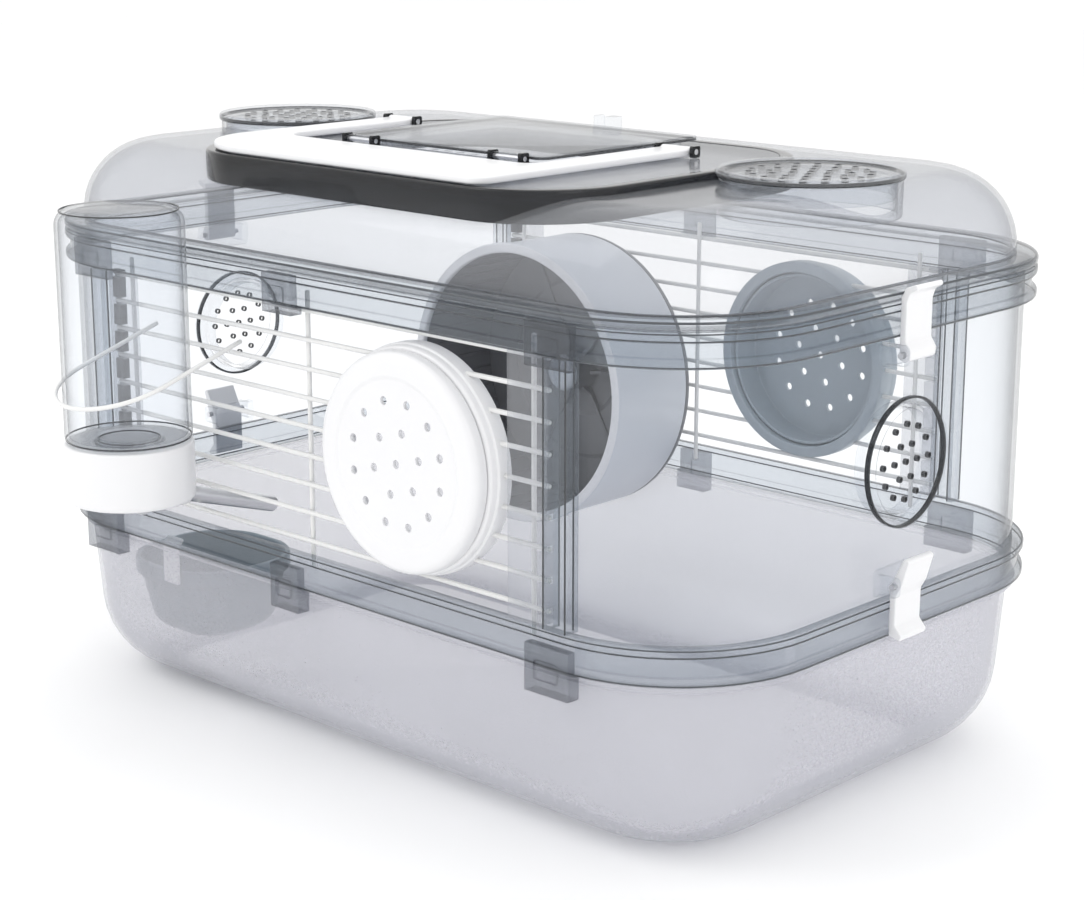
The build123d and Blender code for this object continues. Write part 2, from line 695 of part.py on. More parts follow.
with BuildPart() as wheel_rim:
    with BuildSketch(Plane.XZ.offset(-WHEEL_BACK + DISC_THICKNESS)):
        with Locations((WHEEL_X, WHEEL_Z)):
            Circle(WHEEL_RADIUS)
            Circle(WHEEL_RADIUS - WHEEL_WALL, mode=Mode.SUBTRACT)
    extrude(amount=WHEEL_BACK - DISC_THICKNESS - WHEEL_FRONT)
    with BuildSketch(Plane.XZ.offset(-WHEEL_FRONT - 3)):
        with Locations((WHEEL_X, WHEEL_Z)):
            Circle(WHEEL_RADIUS + 1)
            Circle(WHEEL_RADIUS - WHEEL_WALL - 1.5, mode=Mode.SUBTRACT)
    extrude(amount=3)
    with BuildSketch(Plane.XZ.offset(-WHEEL_BACK + DISC_THICKNESS)):
        with Locations((WHEEL_X, WHEEL_Z)):
            with PolarLocations(WHEEL_RADIUS - WHEEL_WALL - 0.3, TREADS):
                Rectangle(1.4, 1.6)
    extrude(amount=WHEEL_BACK - DISC_THICKNESS - WHEEL_FRONT)
save(wheel_rim.part, "wheel_rim")

with BuildPart() as wheel_back:
    with BuildSketch(Plane.XZ.offset(-WHEEL_BACK)):
        with Locations((WHEEL_X, WHEEL_Z)):
            Circle(WHEEL_RADIUS)
    extrude(amount=DISC_THICKNESS)
    with BuildSketch(Plane.XZ.offset(-WHEEL_BACK)):
        with Locations((WHEEL_X, WHEEL_Z)):
            with PolarLocations(WHEEL_RADIUS / 2, RIBS):
                Rectangle(56, 2)
    extrude(amount=5)
    with BuildSketch(Plane.XZ.offset(-WHEEL_BACK)):
        with Locations((WHEEL_X, WHEEL_Z)):
            Circle(HUB_RADIUS)
    extrude(amount=5, mode=Mode.SUBTRACT)
save(wheel_back.part, "wheel_back")

with BuildPart() as wheel_hub:
    with BuildSketch(Plane.XZ.offset(-WHEEL_BACK)):
        with Locations((WHEEL_X, WHEEL_Z)):
            Circle(HUB_RADIUS)
            Circle(AXLE_BORE, mode=Mode.SUBTRACT)
    extrude(amount=HUB_LENGTH)
save(wheel_hub.part, "wheel_hub")

hub_front = WHEEL_BACK - HUB_LENGTH
with BuildPart() as wheel_hub_cap:
    with BuildSketch(Plane.XZ.offset(-hub_front)):
        with Locations((WHEEL_X, WHEEL_Z)):
            Circle(HUB_RADIUS)
    extrude(amount=3.5)
    fillet(wheel_hub_cap.faces().sort_by(Axis.Y)[0].edges(), 2.5)
save(wheel_hub_cap.part, "wheel_hub_cap")

bracket_back = WIRE_PLANE - WIRE_RADIUS - 0.2
with BuildPart() as wheel_bracket:
    with BuildSketch(Plane.XZ.offset(-bracket_back)):
        with Locations((WHEEL_X, WHEEL_Z)):
            RectangleRounded(*BRACKET_SIZE, 6)
    extrude(amount=BRACKET_THICKNESS)
    for height in (WHEEL_Z - WIRE_PITCH, WHEEL_Z + WIRE_PITCH):
        with BuildSketch(Plane.XZ.offset(-bracket_back - 4.4)):
            with Locations((WHEEL_X - BRACKET_HOOK_X, height), (WHEEL_X + BRACKET_HOOK_X, height)):
                RectangleRounded(8, 6, 1)
        extrude(amount=4.4)
    with BuildSketch(Plane.YZ.offset(WHEEL_X - 30)):
        with Locations([(WIRE_PLANE, height) for height in WIRE_HEIGHTS]):
            Circle(WIRE_RADIUS + 0.05)
    extrude(amount=60, mode=Mode.SUBTRACT)
save(wheel_bracket.part, "wheel_bracket")

with BuildPart() as wheel_axle:
    with BuildSketch(Plane.XZ.offset(-bracket_back + BRACKET_THICKNESS)):
        with Locations((WHEEL_X, WHEEL_Z)):
            Circle(AXLE_RADIUS)
    extrude(amount=bracket_back - BRACKET_THICKNESS - hub_front - 0.6)
    with BuildSketch(Plane.XZ.offset(-bracket_back + BRACKET_THICKNESS)):
        with Locations((WHEEL_X, WHEEL_Z)):
            Circle(AXLE_FLANGE)
    extrude(amount=bracket_back - BRACKET_THICKNESS - WHEEL_BACK - 0.4)
save(wheel_axle.part, "wheel_axle")


# Bottle: a closed clear tube, screwed upside down into a cap with a sloping steel spout

neck_radius = BOTTLE_RADIUS - 2.2
with BuildPart() as bottle_body:
    with BuildSketch(Plane.XY.offset(BOTTLE_CAP_TOP + 0.4)):
        with Locations((BOTTLE_X, BOTTLE_Y)):
            Circle(BOTTLE_RADIUS)
    extrude(amount=BOTTLE_TOP - BOTTLE_CAP_TOP - 0.4)
    fillet(bottle_body.faces().sort_by(Axis.Z)[-1].edges(), 7)
    with BuildSketch(Plane.XY.offset(BOTTLE_CAP_BOTTOM + 5)):
        with Locations((BOTTLE_X, BOTTLE_Y)):
            Circle(neck_radius)
    extrude(amount=BOTTLE_CAP_TOP - BOTTLE_CAP_BOTTOM)
    with BuildSketch(Plane.XY.offset(BOTTLE_CAP_BOTTOM + 5)):
        with Locations((BOTTLE_X, BOTTLE_Y)):
            Circle(neck_radius - 1.6)
    extrude(amount=BOTTLE_TOP - BOTTLE_CAP_BOTTOM - 5 - 1.6, mode=Mode.SUBTRACT)
save(bottle_body.part, "bottle_body")

with BuildPart() as cap_seal:
    with BuildSketch(Plane.XY.offset(BOTTLE_CAP_BOTTOM + 3)):
        with Locations((BOTTLE_X, BOTTLE_Y)):
            Circle(neck_radius)
            Circle(neck_radius - 3, mode=Mode.SUBTRACT)
    extrude(amount=2)
save(cap_seal.part, "cap_seal")


def spout_point(y):
    """The point on the spout's sloping axis at a depth y."""
    return Vector(BOTTLE_X, y, SPOUT_WIRE_Z - (y + WIRE_PLANE) * SPOUT_SLOPE)


def spout_section(y):
    """The plane across the spout at a depth y, facing inwards."""
    return Plane(origin=spout_point(y), z_dir=(0, 1, -SPOUT_SLOPE))


spout_cone_back = -155
spout_cone_front = -138
spout_collar_front = -132
spout_stretch = (1 + SPOUT_SLOPE**2) ** 0.5
spout_length = (SPOUT_TIP_Y - spout_cone_back) * spout_stretch

with BuildPart() as spout_bar:
    with BuildSketch(spout_section(spout_cone_back)):
        Circle(SPOUT_RADIUS)
    extrude(amount=spout_length)

with BuildPart() as cap_form:
    with BuildSketch(Plane.XY.offset(BOTTLE_CAP_BOTTOM)):
        with Locations((BOTTLE_X, BOTTLE_Y)):
            Circle(BOTTLE_RADIUS + 0.5)
    extrude(amount=BOTTLE_CAP_TOP - BOTTLE_CAP_BOTTOM)
    fillet(cap_form.faces().sort_by(Axis.Z)[0].edges(), 2)

with BuildPart() as bottle_cap:
    add(cap_form.part)
    with BuildSketch(Plane.XY.offset(BOTTLE_CAP_BOTTOM + 3)):
        with Locations((BOTTLE_X, BOTTLE_Y)):
            Circle(neck_radius + 0.1)
    extrude(amount=BOTTLE_CAP_TOP - BOTTLE_CAP_BOTTOM, mode=Mode.SUBTRACT)
    add(spout_bar.part, mode=Mode.SUBTRACT)
save(bottle_cap.part, "bottle_cap")

with BuildPart() as spout_cone:
    with BuildSketch(spout_section(spout_cone_back)):
        Circle(SPOUT_CONE_WIDE)
    with BuildSketch(spout_section(spout_cone_front)):
        Circle(SPOUT_CONE_NARROW)
    loft()
    add(cap_form.part, mode=Mode.SUBTRACT)
    add(spout_bar.part, mode=Mode.SUBTRACT)
save(spout_cone.part, "spout_cone")

with BuildPart() as spout_collar:
    with BuildSketch(spout_section(spout_cone_front)):
        Circle(SPOUT_COLLAR_RADIUS)
        Circle(SPOUT_RADIUS, mode=Mode.SUBTRACT)
    extrude(amount=(spout_collar_front - spout_cone_front) * spout_stretch)
    add(cap_form.part, mode=Mode.SUBTRACT)
save(spout_collar.part, "spout_collar")

with BuildPart() as spout_tube:
    add(spout_bar.part)
    with BuildSketch(spout_section(SPOUT_TIP_Y)):
        Circle(SPOUT_RADIUS - 0.6)
    extrude(amount=-spout_length, mode=Mode.SUBTRACT)
save(spout_tube.part, "spout_tube")

with BuildPart() as spout_ball:
    with Locations(spout_point(SPOUT_TIP_Y - 1)):
        Sphere(SPOUT_RADIUS - 0.65)
save(spout_ball.part, "spout_ball")

hanger_reach = BOTTLE_RADIUS + 1.9
hanger_plane = Plane(origin=(BOTTLE_X, HANGER_Y, HANGER_Z), x_dir=(1, 0, 0), z_dir=(0, -HANGER_SLOPE, 1))
with BuildPart() as bottle_hanger:
    with BuildLine(hanger_plane) as hoop:
        right_leg = Line((hanger_reach, HANGER_HOOK), (hanger_reach, -HANGER_LEG))
        bend = ThreePointArc(right_leg @ 1, (0, -HANGER_LEG - hanger_reach), (-hanger_reach, -HANGER_LEG))
        Line(bend @ 1, (-hanger_reach, HANGER_HOOK))
    with BuildSketch(Plane(origin=right_leg @ 0, z_dir=right_leg % 0)):
        Circle(WIRE_RADIUS)
    sweep(path=hoop.wire())
save(bottle_hanger.part, "bottle_hanger")


# Food bowl: a tapered rounded square with a lip and a white hook

def bowl_form(inset):
    """The bowl's solid form, drawn in by an inset."""
    with BuildPart() as form:
        with BuildSketch(Plane.XY.offset(BOWL_BOTTOM + inset)):
            with Locations((BOWL_X, BOWL_Y)):
                side = 2 * (BOWL_RADIUS - 6 - inset)
                RectangleRounded(side, side, 19 - inset)
        extrude(amount=BOWL_TOP - BOWL_BOTTOM - inset, taper=-degrees(atan2(6, BOWL_TOP - BOWL_BOTTOM)))
        fillet(form.edges().group_by(Axis.Z)[0], 8)
    return form.part


with BuildPart() as food_bowl:
    add(bowl_form(0))
    with BuildSketch(Plane.XY.offset(BOWL_TOP - 3)):
        with Locations((BOWL_X, BOWL_Y)):
            RectangleRounded(2 * BOWL_RADIUS + 4, 2 * BOWL_RADIUS + 4, 27)
    extrude(amount=3)
    add(bowl_form(2), mode=Mode.SUBTRACT)
save(food_bowl.part, "food_bowl")

hook_face = BOWL_Y - BOWL_RADIUS - 2
with BuildPart() as bowl_hook:
    with BuildSketch(Plane.YZ.offset(BOWL_X + 8)):
        with BuildLine():
            Polyline((hook_face, BOWL_TOP - 5), (hook_face, TRAY_TOP - 5), (hook_face + 3, TRAY_TOP - 2),
                     (hook_face + 1.6, TRAY_TOP - 0.6), (hook_face - 1.6, TRAY_TOP - 4),
                     (hook_face - 1.6, BOWL_TOP - 5), close=True)
        make_face()
    extrude(amount=10)
save(bowl_hook.part, "bowl_hook")


# Latches: a white lever on a pin in a clear bracket, high and low at each end

WALL_FACE = RING_LENGTH / 2 - RING_INNER
LATCH_FACE = RING_LENGTH / 2 + 0.8
LATCH_PLATE = 2.8


def latch(outline, pivot_z):
    """A lever cut from its side outline, with a barrel round the pin."""
    with BuildPart() as lever:
        with BuildSketch(Plane.XZ.offset(-LATCH_Y - LATCH_WIDTH / 2)):
            with BuildLine():
                Polyline(*outline, close=True)
            make_face()
            with Locations((LATCH_PIVOT_X, pivot_z)):
                Circle(3)
                Circle(LATCH_BORE, mode=Mode.SUBTRACT)
        extrude(amount=LATCH_WIDTH)
    return lever.part


latch_outside = LATCH_FACE + LATCH_PLATE
top_latch_outline = [
    (LATCH_FACE, TOP_LATCH_Z), (LATCH_FACE, 212), (LATCH_FACE + 2, 215.5), (LATCH_FACE + 7, 217.5),
    (LATCH_FACE + 7.4, 215.4), (LATCH_FACE + 4, 213.4), (latch_outside, 211), (latch_outside, TOP_LATCH_Z),
]
bottom_latch_outline = [
    (LATCH_FACE, 78.5), (LATCH_FACE, BOTTOM_LATCH_Z), (LATCH_FACE + 6, 111), (LATCH_FACE + 8.6, 110),
    (LATCH_FACE + 4.6, BOTTOM_LATCH_Z), (latch_outside, 96), (latch_outside, 82), (LATCH_FACE + 6, 79),
    (LATCH_FACE + 5.4, 77),
]
save_right_and_left(latch(top_latch_outline, TOP_LATCH_Z), "top_latch")
save_right_and_left(latch(bottom_latch_outline, BOTTOM_LATCH_Z), "bottom_latch")


def latch_bracket(pivot_z):
    """A clear bracket on the end wall, with an ear each side of the lever."""
    ear_gap = LATCH_WIDTH / 2 + 0.6
    with BuildPart() as bracket:
        with BuildSketch(Plane.YZ.offset(WALL_FACE)):
            with Locations((LATCH_Y, pivot_z)):
                RectangleRounded(2 * ear_gap + 5, 11, 2)
        extrude(amount=1.6)
        for side in (-1, 1):
            with BuildSketch(Plane.XZ.offset(side * (ear_gap + 1) - 1 - LATCH_Y)):
                with Locations(((WALL_FACE + LATCH_PIVOT_X + 3) / 2, pivot_z)):
                    RectangleRounded(LATCH_PIVOT_X + 3 - WALL_FACE, 8, 2)
            extrude(amount=2)
        with BuildSketch(Plane.XZ.offset(-LATCH_Y - LATCH_WIDTH)):
            with Locations((LATCH_PIVOT_X, pivot_z)):
                Circle(LATCH_PIN_RADIUS)
        extrude(amount=2 * LATCH_WIDTH, mode=Mode.SUBTRACT)
    return bracket.part


def latch_pin(pivot_z):
    """The pin through the lever and the bracket's ears."""
    with BuildPart() as pin:
        with BuildSketch(Plane.XZ.offset(-LATCH_Y - LATCH_WIDTH / 2 - 2.6)):
            with Locations((LATCH_PIVOT_X, pivot_z)):
                Circle(LATCH_PIN_RADIUS)
        extrude(amount=LATCH_WIDTH + 5.2)
    return pin.part


for name, make in (("latch_brackets", latch_bracket), ("latch_pins", latch_pin)):
    right = [make(pivot_z) for pivot_z in (TOP_LATCH_Z, BOTTOM_LATCH_Z)]
    save(Compound(children=right + [mirrored(piece, Plane.YZ) for piece in right]), name)
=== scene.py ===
import json
from math import cos, hypot, pi, radians, sin, tan

import bmesh
import bpy
from mathutils import Matrix, Vector


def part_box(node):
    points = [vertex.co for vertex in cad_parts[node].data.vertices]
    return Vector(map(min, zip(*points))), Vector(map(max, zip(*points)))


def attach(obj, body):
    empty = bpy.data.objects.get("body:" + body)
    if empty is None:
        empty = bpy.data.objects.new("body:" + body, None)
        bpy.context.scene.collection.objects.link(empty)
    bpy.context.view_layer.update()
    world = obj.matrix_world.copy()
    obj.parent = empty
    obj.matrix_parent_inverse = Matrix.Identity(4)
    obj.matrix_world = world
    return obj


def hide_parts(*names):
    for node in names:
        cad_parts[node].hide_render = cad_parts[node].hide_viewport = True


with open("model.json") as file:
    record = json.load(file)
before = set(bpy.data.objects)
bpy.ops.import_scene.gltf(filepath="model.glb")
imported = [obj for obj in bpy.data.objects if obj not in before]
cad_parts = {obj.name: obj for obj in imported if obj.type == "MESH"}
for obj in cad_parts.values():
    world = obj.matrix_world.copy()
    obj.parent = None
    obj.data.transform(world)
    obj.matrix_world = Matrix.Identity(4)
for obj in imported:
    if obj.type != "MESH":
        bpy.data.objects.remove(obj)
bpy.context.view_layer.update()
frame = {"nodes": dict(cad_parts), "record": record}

# A rodent cage: frosted tray, smoked rails, clear ends, wire sides, a domed roof with a hatch.
# Metres, in the CAD frame: +X right end, +Y back, +Z up. Lengths below are in millimetres times MM.

MM = 0.001
CAGE_CORNER = 65 * MM
ring_low, ring_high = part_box("lower_ring")
upper_low, upper_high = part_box("upper_ring")
rim_low, rim_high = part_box("roof_rim")
roof_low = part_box("roof_sides")[0]
roof_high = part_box("port_collars")[1]
tray_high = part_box("tray_wall")[1]
HALF_X = ring_high.x
HALF_Y = ring_high.y


# Shapes: outlines, sweeps, turned pieces, plates and wires

def filleted(corners, steps=5):
    """Closed outline through (u, v, radius) corners, each rounded by an arc."""
    points = []
    count = len(corners)
    for index, (u, v, radius) in enumerate(corners):
        here = Vector((u, v))
        before = Vector(corners[index - 1][:2]) - here
        after = Vector(corners[(index + 1) % count][:2]) - here
        if radius <= 0:
            points.append((u, v))
            continue
        half_turn = before.angle(after) / 2
        room = [edge.length - min(neighbour[2] * 1.05, edge.length * 0.51) for edge, neighbour in
                ((before, corners[index - 1]), (after, corners[(index + 1) % count]))]
        reach = min(radius / tan(half_turn), room[0] * 0.99, room[1] * 0.99)
        size = reach * tan(half_turn)
        centre = here + (before.normalized() + after.normalized()).normalized() * (size / sin(half_turn))
        first = here + before.normalized() * reach - centre
        last = here + after.normalized() * reach - centre
        turn = first.angle_signed(last)
        for step in range(steps + 1):
            arm = first.copy()
            arm.rotate(Matrix.Rotation(-turn * step / steps, 2))
            points.append(tuple(centre + arm))
    return points


def squared(inner, outer, low, high, low_round, high_round, steps):
    """Rounded four-sided outline between two radii and two heights."""
    return filleted([(inner, low, low_round), (outer, low, low_round), (outer, high, high_round),
                     (inner, high, high_round)], steps)


def circle(radius, sides):
    """Points round a circle about the origin, counter-clockwise."""
    return [(radius * cos(2 * pi * s / sides), radius * sin(2 * pi * s / sides)) for s in range(sides)]


def rounded_plan(half_x, half_y, corner, inset=0.0, centre=(0, 0), steps=14):
    """Points round a rounded rectangle drawn in by an inset, counter-clockwise from the right end."""
    radius = corner - inset
    points = []
    for quarter, (side_x, side_y) in enumerate(((1, 1), (-1, 1), (-1, -1), (1, -1))):
        for step in range(steps + 1):
            angle = pi / 2 * (quarter + step / steps)
            points.append((centre[0] + side_x * (half_x - corner) + radius * cos(angle),
                           centre[1] + side_y * (half_y - corner) + radius * sin(angle)))
    return points


def cage_plan(inset):
    """The cage's own outline, drawn in by an inset."""
    return rounded_plan(HALF_X, HALF_Y, CAGE_CORNER, inset)


def finish_mesh(name, bm, smooth_angle=38):
    """Turns a bmesh into an object with smooth shading that breaks at sharp edges."""
    bmesh.ops.remove_doubles(bm, verts=bm.verts, dist=1e-6)
    bmesh.ops.recalc_face_normals(bm, faces=bm.faces)
    mesh = bpy.data.meshes.new(name)
    bm.to_mesh(mesh)
    bm.free()
    for polygon in mesh.polygons:
        polygon.use_smooth = True
    mesh.set_sharp_from_angle(angle=radians(smooth_angle))
    piece = bpy.data.objects.new(name, mesh)
    bpy.context.scene.collection.objects.link(piece)
    return piece


def skin(bm, rings, close_rings=False, close_along=True, caps=False):
    """Faces between rows of points; each row is a loop unless close_along is False."""
    rows = [[bm.verts.new(point) for point in ring] for ring in rings]
    pairs = list(zip(rows, rows[1:]))
    if close_rings:
        pairs.append((rows[-1], rows[0]))
    for low, high in pairs:
        count = len(low)
        for index in range(count if close_along else count - 1):
            after = (index + 1) % count
            bm.faces.new((low[index], low[after], high[after], high[index]))
    if caps:
        bm.faces.new(rows[0])
        bm.faces.new(rows[-1])
    return rows


def swept(name, profile, plan=cage_plan, closed=True, caps=False):
    """A profile of (inset, height) points carried round a plan outline."""
    bm = bmesh.new()
    rings = [[(x, y, height) for x, y in plan(inset)] for inset, height in profile]
    skin(bm, rings, close_rings=closed, caps=caps)
    return finish_mesh(name, bm)


def turned(name, profile, place, steps=72):
    """A closed profile of (radius, height) points turned about the Z axis, then placed by a matrix."""
    bm = bmesh.new()
    rings = [[place @ Vector((x, y, height)) for x, y in circle(radius, steps)] for radius, height in profile]
    skin(bm, rings, close_rings=True)
    return finish_mesh(name, bm)


def plate(name, outline, thickness, place, bevel=0.0, holes=()):
    """A flat plate with the given outline in U and V, thick along W, bevelled and placed by a matrix."""
    bm = bmesh.new()
    low = [place @ Vector((u, v, 0)) for u, v in outline]
    high = [place @ Vector((u, v, thickness)) for u, v in outline]
    skin(bm, [low, high], caps=True)
    piece = finish_mesh(name, bm)
    if holes:
        cut(piece, holes)
    if bevel:
        rounder = piece.modifiers.new("round", "BEVEL")
        rounder.width = bevel
        rounder.segments = 3
        rounder.limit_method = "ANGLE"
        rounder.angle_limit = radians(50)
        bake_modifiers(piece)
    return piece


def tube(bm, path, radius, sides):
    """A round wire along a path of points, with domed ends, added to a bmesh."""
    path = [Vector(point) for point in path]
    along = [(path[min(i + 1, len(path) - 1)] - path[max(i - 1, 0)]).normalized() for i in range(len(path))]
    side = along[0].orthogonal().normalized()
    rings = []
    for index, point in enumerate(path):
        side = (side - along[index] * side.dot(along[index])).normalized()
        across = along[index].cross(side)
        sizes = [(0, 1)]
        if index == 0:
            sizes = [(-0.5, 0.5), (-0.3, 0.85), (0, 1)]
        if index == len(path) - 1:
            sizes = [(0, 1), (0.3, 0.85), (0.5, 0.5)]
        for shift, share in sizes:
            centre = point + along[index] * shift * radius
            rings.append([centre + (side * x + across * y) * radius * share for x, y in circle(1, sides)])
    skin(bm, rings, caps=True)


def wires(name, paths, radius, sides):
    """Round wires along several paths, as one piece."""
    bm = bmesh.new()
    for path in paths:
        tube(bm, path, radius, sides)
    return finish_mesh(name, bm, 60)


def bake_modifiers(piece):
    """Replaces a piece's mesh by what its modifiers make of it."""
    depsgraph = bpy.context.evaluated_depsgraph_get()
    mesh = bpy.data.meshes.new_from_object(piece.evaluated_get(depsgraph))
    piece.modifiers.clear()
    old = piece.data
    piece.data = mesh
    bpy.data.meshes.remove(old)
    for polygon in mesh.polygons:
        polygon.use_smooth = True
    mesh.set_sharp_from_angle(angle=radians(38))


def cut(piece, cutters):
    """Takes the cutters' shapes out of a piece and removes the cutters."""
    for cutter in cutters:
        hole = piece.modifiers.new("cut", "BOOLEAN")
        hole.object = cutter
        hole.operation = "DIFFERENCE"
        hole.solver = "EXACT"
    bake_modifiers(piece)
    for cutter in cutters:
        bpy.data.objects.remove(cutter)


def pegs(name, centres, radius, low, high, place, sides=16):
    """Round cutters side by side, along W between two heights."""
    bm = bmesh.new()
    for u, v in centres:
        rings = [[place @ Vector((u + x, v + y, w)) for x, y in circle(radius, sides)] for w in (low, high)]
        skin(bm, rings, caps=True)
    return finish_mesh(name, bm)


def hole_rings(rings, start=0.0):
    """Centres on circles: (radius, count) pairs."""
    return [(radius * cos(start + 2 * pi * step / count), radius * sin(start + 2 * pi * step / count))
            for radius, count in rings for step in range(count)]


def along(origin, axis, up=(0, 0, 1)):
    """Matrix that stands a turned piece at a point with its Z axis along a direction."""
    w = Vector(axis).normalized()
    v = Vector(up)
    v = (v - w * v.dot(w)).normalized()
    u = v.cross(w)
    turn = Matrix((u, v, w)).transposed().to_4x4()
    return Matrix.Translation(Vector(origin)) @ turn


def place_piece(piece, body, material, slot, *nodes):
    """Gives a piece its material by name, its body and the CAD nodes it stands for; the slot argument is not
    used.
    """
    piece.data.materials.clear()
    piece.data.materials.append(materials[material])
    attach(piece, body)
    if nodes:
        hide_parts(*nodes)
    return piece


# Materials

def srgb(red, green, blue):
    """Screen colour to the linear colour that shaders take."""
    linear = [((c + 0.055) / 1.055) ** 2.4 if c > 0.04045 else c / 12.92 for c in (red, green, blue)]
    return (*linear, 1)


class Surface:
    """A node material under construction."""

    def __init__(self, name):
        self.material = bpy.data.materials.new(name)
        self.material.use_nodes = True
        self.tree = self.material.node_tree
        self.tree.nodes.clear()
        self.output = self.node("ShaderNodeOutputMaterial")
        self.object_space = self.node("ShaderNodeTexCoord").outputs["Object"]

    def node(self, kind, **values):
        made = self.tree.nodes.new(kind)
        for key, value in values.items():
            setattr(made, key, value)
        return made

    def link(self, source, target):
        self.tree.links.new(source, target)

    def noise(self, scale, detail=3.0, roughness=0.55):
        """Noise over the object, with its scale per metre."""
        made = self.node("ShaderNodeTexNoise")
        made.inputs["Scale"].default_value = scale
        made.inputs["Detail"].default_value = detail
        made.inputs["Roughness"].default_value = roughness
        self.link(self.object_space, made.inputs["Vector"])
        return made.outputs["Fac"]

    def span(self, source, low, high):
        """Maps a 0 to 1 value to a range."""
        made = self.node("ShaderNodeMapRange")
        made.inputs["To Min"].default_value = low
        made.inputs["To Max"].default_value = high
        self.link(source, made.inputs["Value"])
        return made.outputs["Result"]

    def blend_colour(self, source, low, high):
        made = self.node("ShaderNodeMix", data_type="RGBA")
        made.inputs["A"].default_value = low
        made.inputs["B"].default_value = high
        self.link(source, made.inputs["Factor"])
        return made.outputs["Result"]

    def bump(self, source, strength, distance):
        made = self.node("ShaderNodeBump")
        made.inputs["Strength"].default_value = strength
        made.inputs["Distance"].default_value = distance
        self.link(source, made.inputs["Height"])
        return made.outputs["Normal"]

    def facing(self, power, scale, offset=0.0):
        """How edge-on the surface is seen, raised to a power, scaled and shifted."""
        weight = self.node("ShaderNodeLayerWeight").outputs["Facing"]
        raised = self.node("ShaderNodeMath", operation="POWER")
        raised.inputs[1].default_value = power
        self.link(weight, raised.inputs[0])
        scaled = self.node("ShaderNodeMath", operation="MULTIPLY_ADD", use_clamp=True)
        scaled.inputs[1].default_value = scale
        scaled.inputs[2].default_value = offset
        self.link(raised.outputs[0], scaled.inputs[0])
        return scaled.outputs[0]

    def mix(self, factor, first, second):
        made = self.node("ShaderNodeMixShader")
        if isinstance(factor, (int, float)):
            made.inputs[0].default_value = factor
        else:
            self.link(factor, made.inputs[0])
        self.link(first, made.inputs[1])
        self.link(second, made.inputs[2])
        return made.outputs[0]

    def principled(self, colour, roughness, normal=None, **values):
        made = self.node("ShaderNodeBsdfPrincipled")
        self.set(made.inputs["Base Color"], colour)
        self.set(made.inputs["Roughness"], roughness)
        for key, value in values.items():
            made.inputs[key.replace("_", " ")].default_value = value
        if normal is not None:
            self.link(normal, made.inputs["Normal"])
        return made.outputs[0]

    def set(self, socket, value):
        if isinstance(value, bpy.types.NodeSocket):
            self.link(value, socket)
        else:
            socket.default_value = value

    def done(self, shader):
        self.link(shader, self.output.inputs["Surface"])
        return self.material


def moulded(name, light, dark, roughness=0.32, grain=900, bump=0.05, subsurface=0.0):
    """Moulded opaque plastic: faint mottling, fine pebble in the gloss, soft flow marks."""
    s = Surface(name)
    mottle = s.noise(26, 4)
    fine = s.noise(grain, 3)
    colour = s.blend_colour(s.span(mottle, 0.15, 0.85), dark, light)
    gloss = s.span(fine, roughness - 0.07, roughness + 0.09)
    normal = s.bump(fine, bump, 0.0004)
    shader = s.principled(colour, gloss, normal, IOR=1.5, Coat_Weight=0.12, Coat_Roughness=0.12)
    return s.done(shader)


def see_through(name, tint, haze_colour, haze, edge_colour, edge, edge_power, roughness=0.06, grain=420,
                bump=0.05, gloss_share=0.5):
    """Clear or smoked plastic: tinted body, a little haze, darker where it is seen edge-on, and gloss."""
    s = Surface(name)
    waves = s.noise(38, 2)
    fine = s.noise(grain, 4)
    clear = s.node("ShaderNodeBsdfTransparent")
    clear.inputs["Color"].default_value = tint
    haze_tone = s.blend_colour(waves, haze_colour, tuple(0.92 * c for c in haze_colour[:3]) + (1,))
    body = s.principled(haze_tone, s.span(fine, 0.28, 0.42))
    edge_body = s.principled(edge_colour, s.span(fine, 0.12, 0.2))
    inside = s.mix(s.span(fine, haze * 0.85, haze * 1.15), clear.outputs[0], body)
    rimmed = s.mix(s.facing(edge_power, edge), inside, edge_body)
    gloss = s.node("ShaderNodeBsdfGlossy")
    s.link(s.span(fine, roughness * 0.7, roughness * 1.3), gloss.inputs["Roughness"])
    s.link(s.bump(waves, bump, 0.0006), gloss.inputs["Normal"])
    return s.done(s.mix(s.facing(5, gloss_share, 0.018), rimmed, gloss.outputs[0]))


def metal(name, colour, roughness, streaks):
    """Drawn stainless steel: fine streaks across the gloss."""
    s = Surface(name)
    fine = s.noise(streaks, 5)
    smudge = s.noise(60, 3)
    shade = s.blend_colour(smudge, tuple(0.85 * c for c in colour[:3]) + (1,), colour)
    gloss = s.span(fine, roughness - 0.05, roughness + 0.08)
    return s.done(s.principled(shade, gloss, s.bump(fine, 0.08, 0.0002), Metallic=1.0))


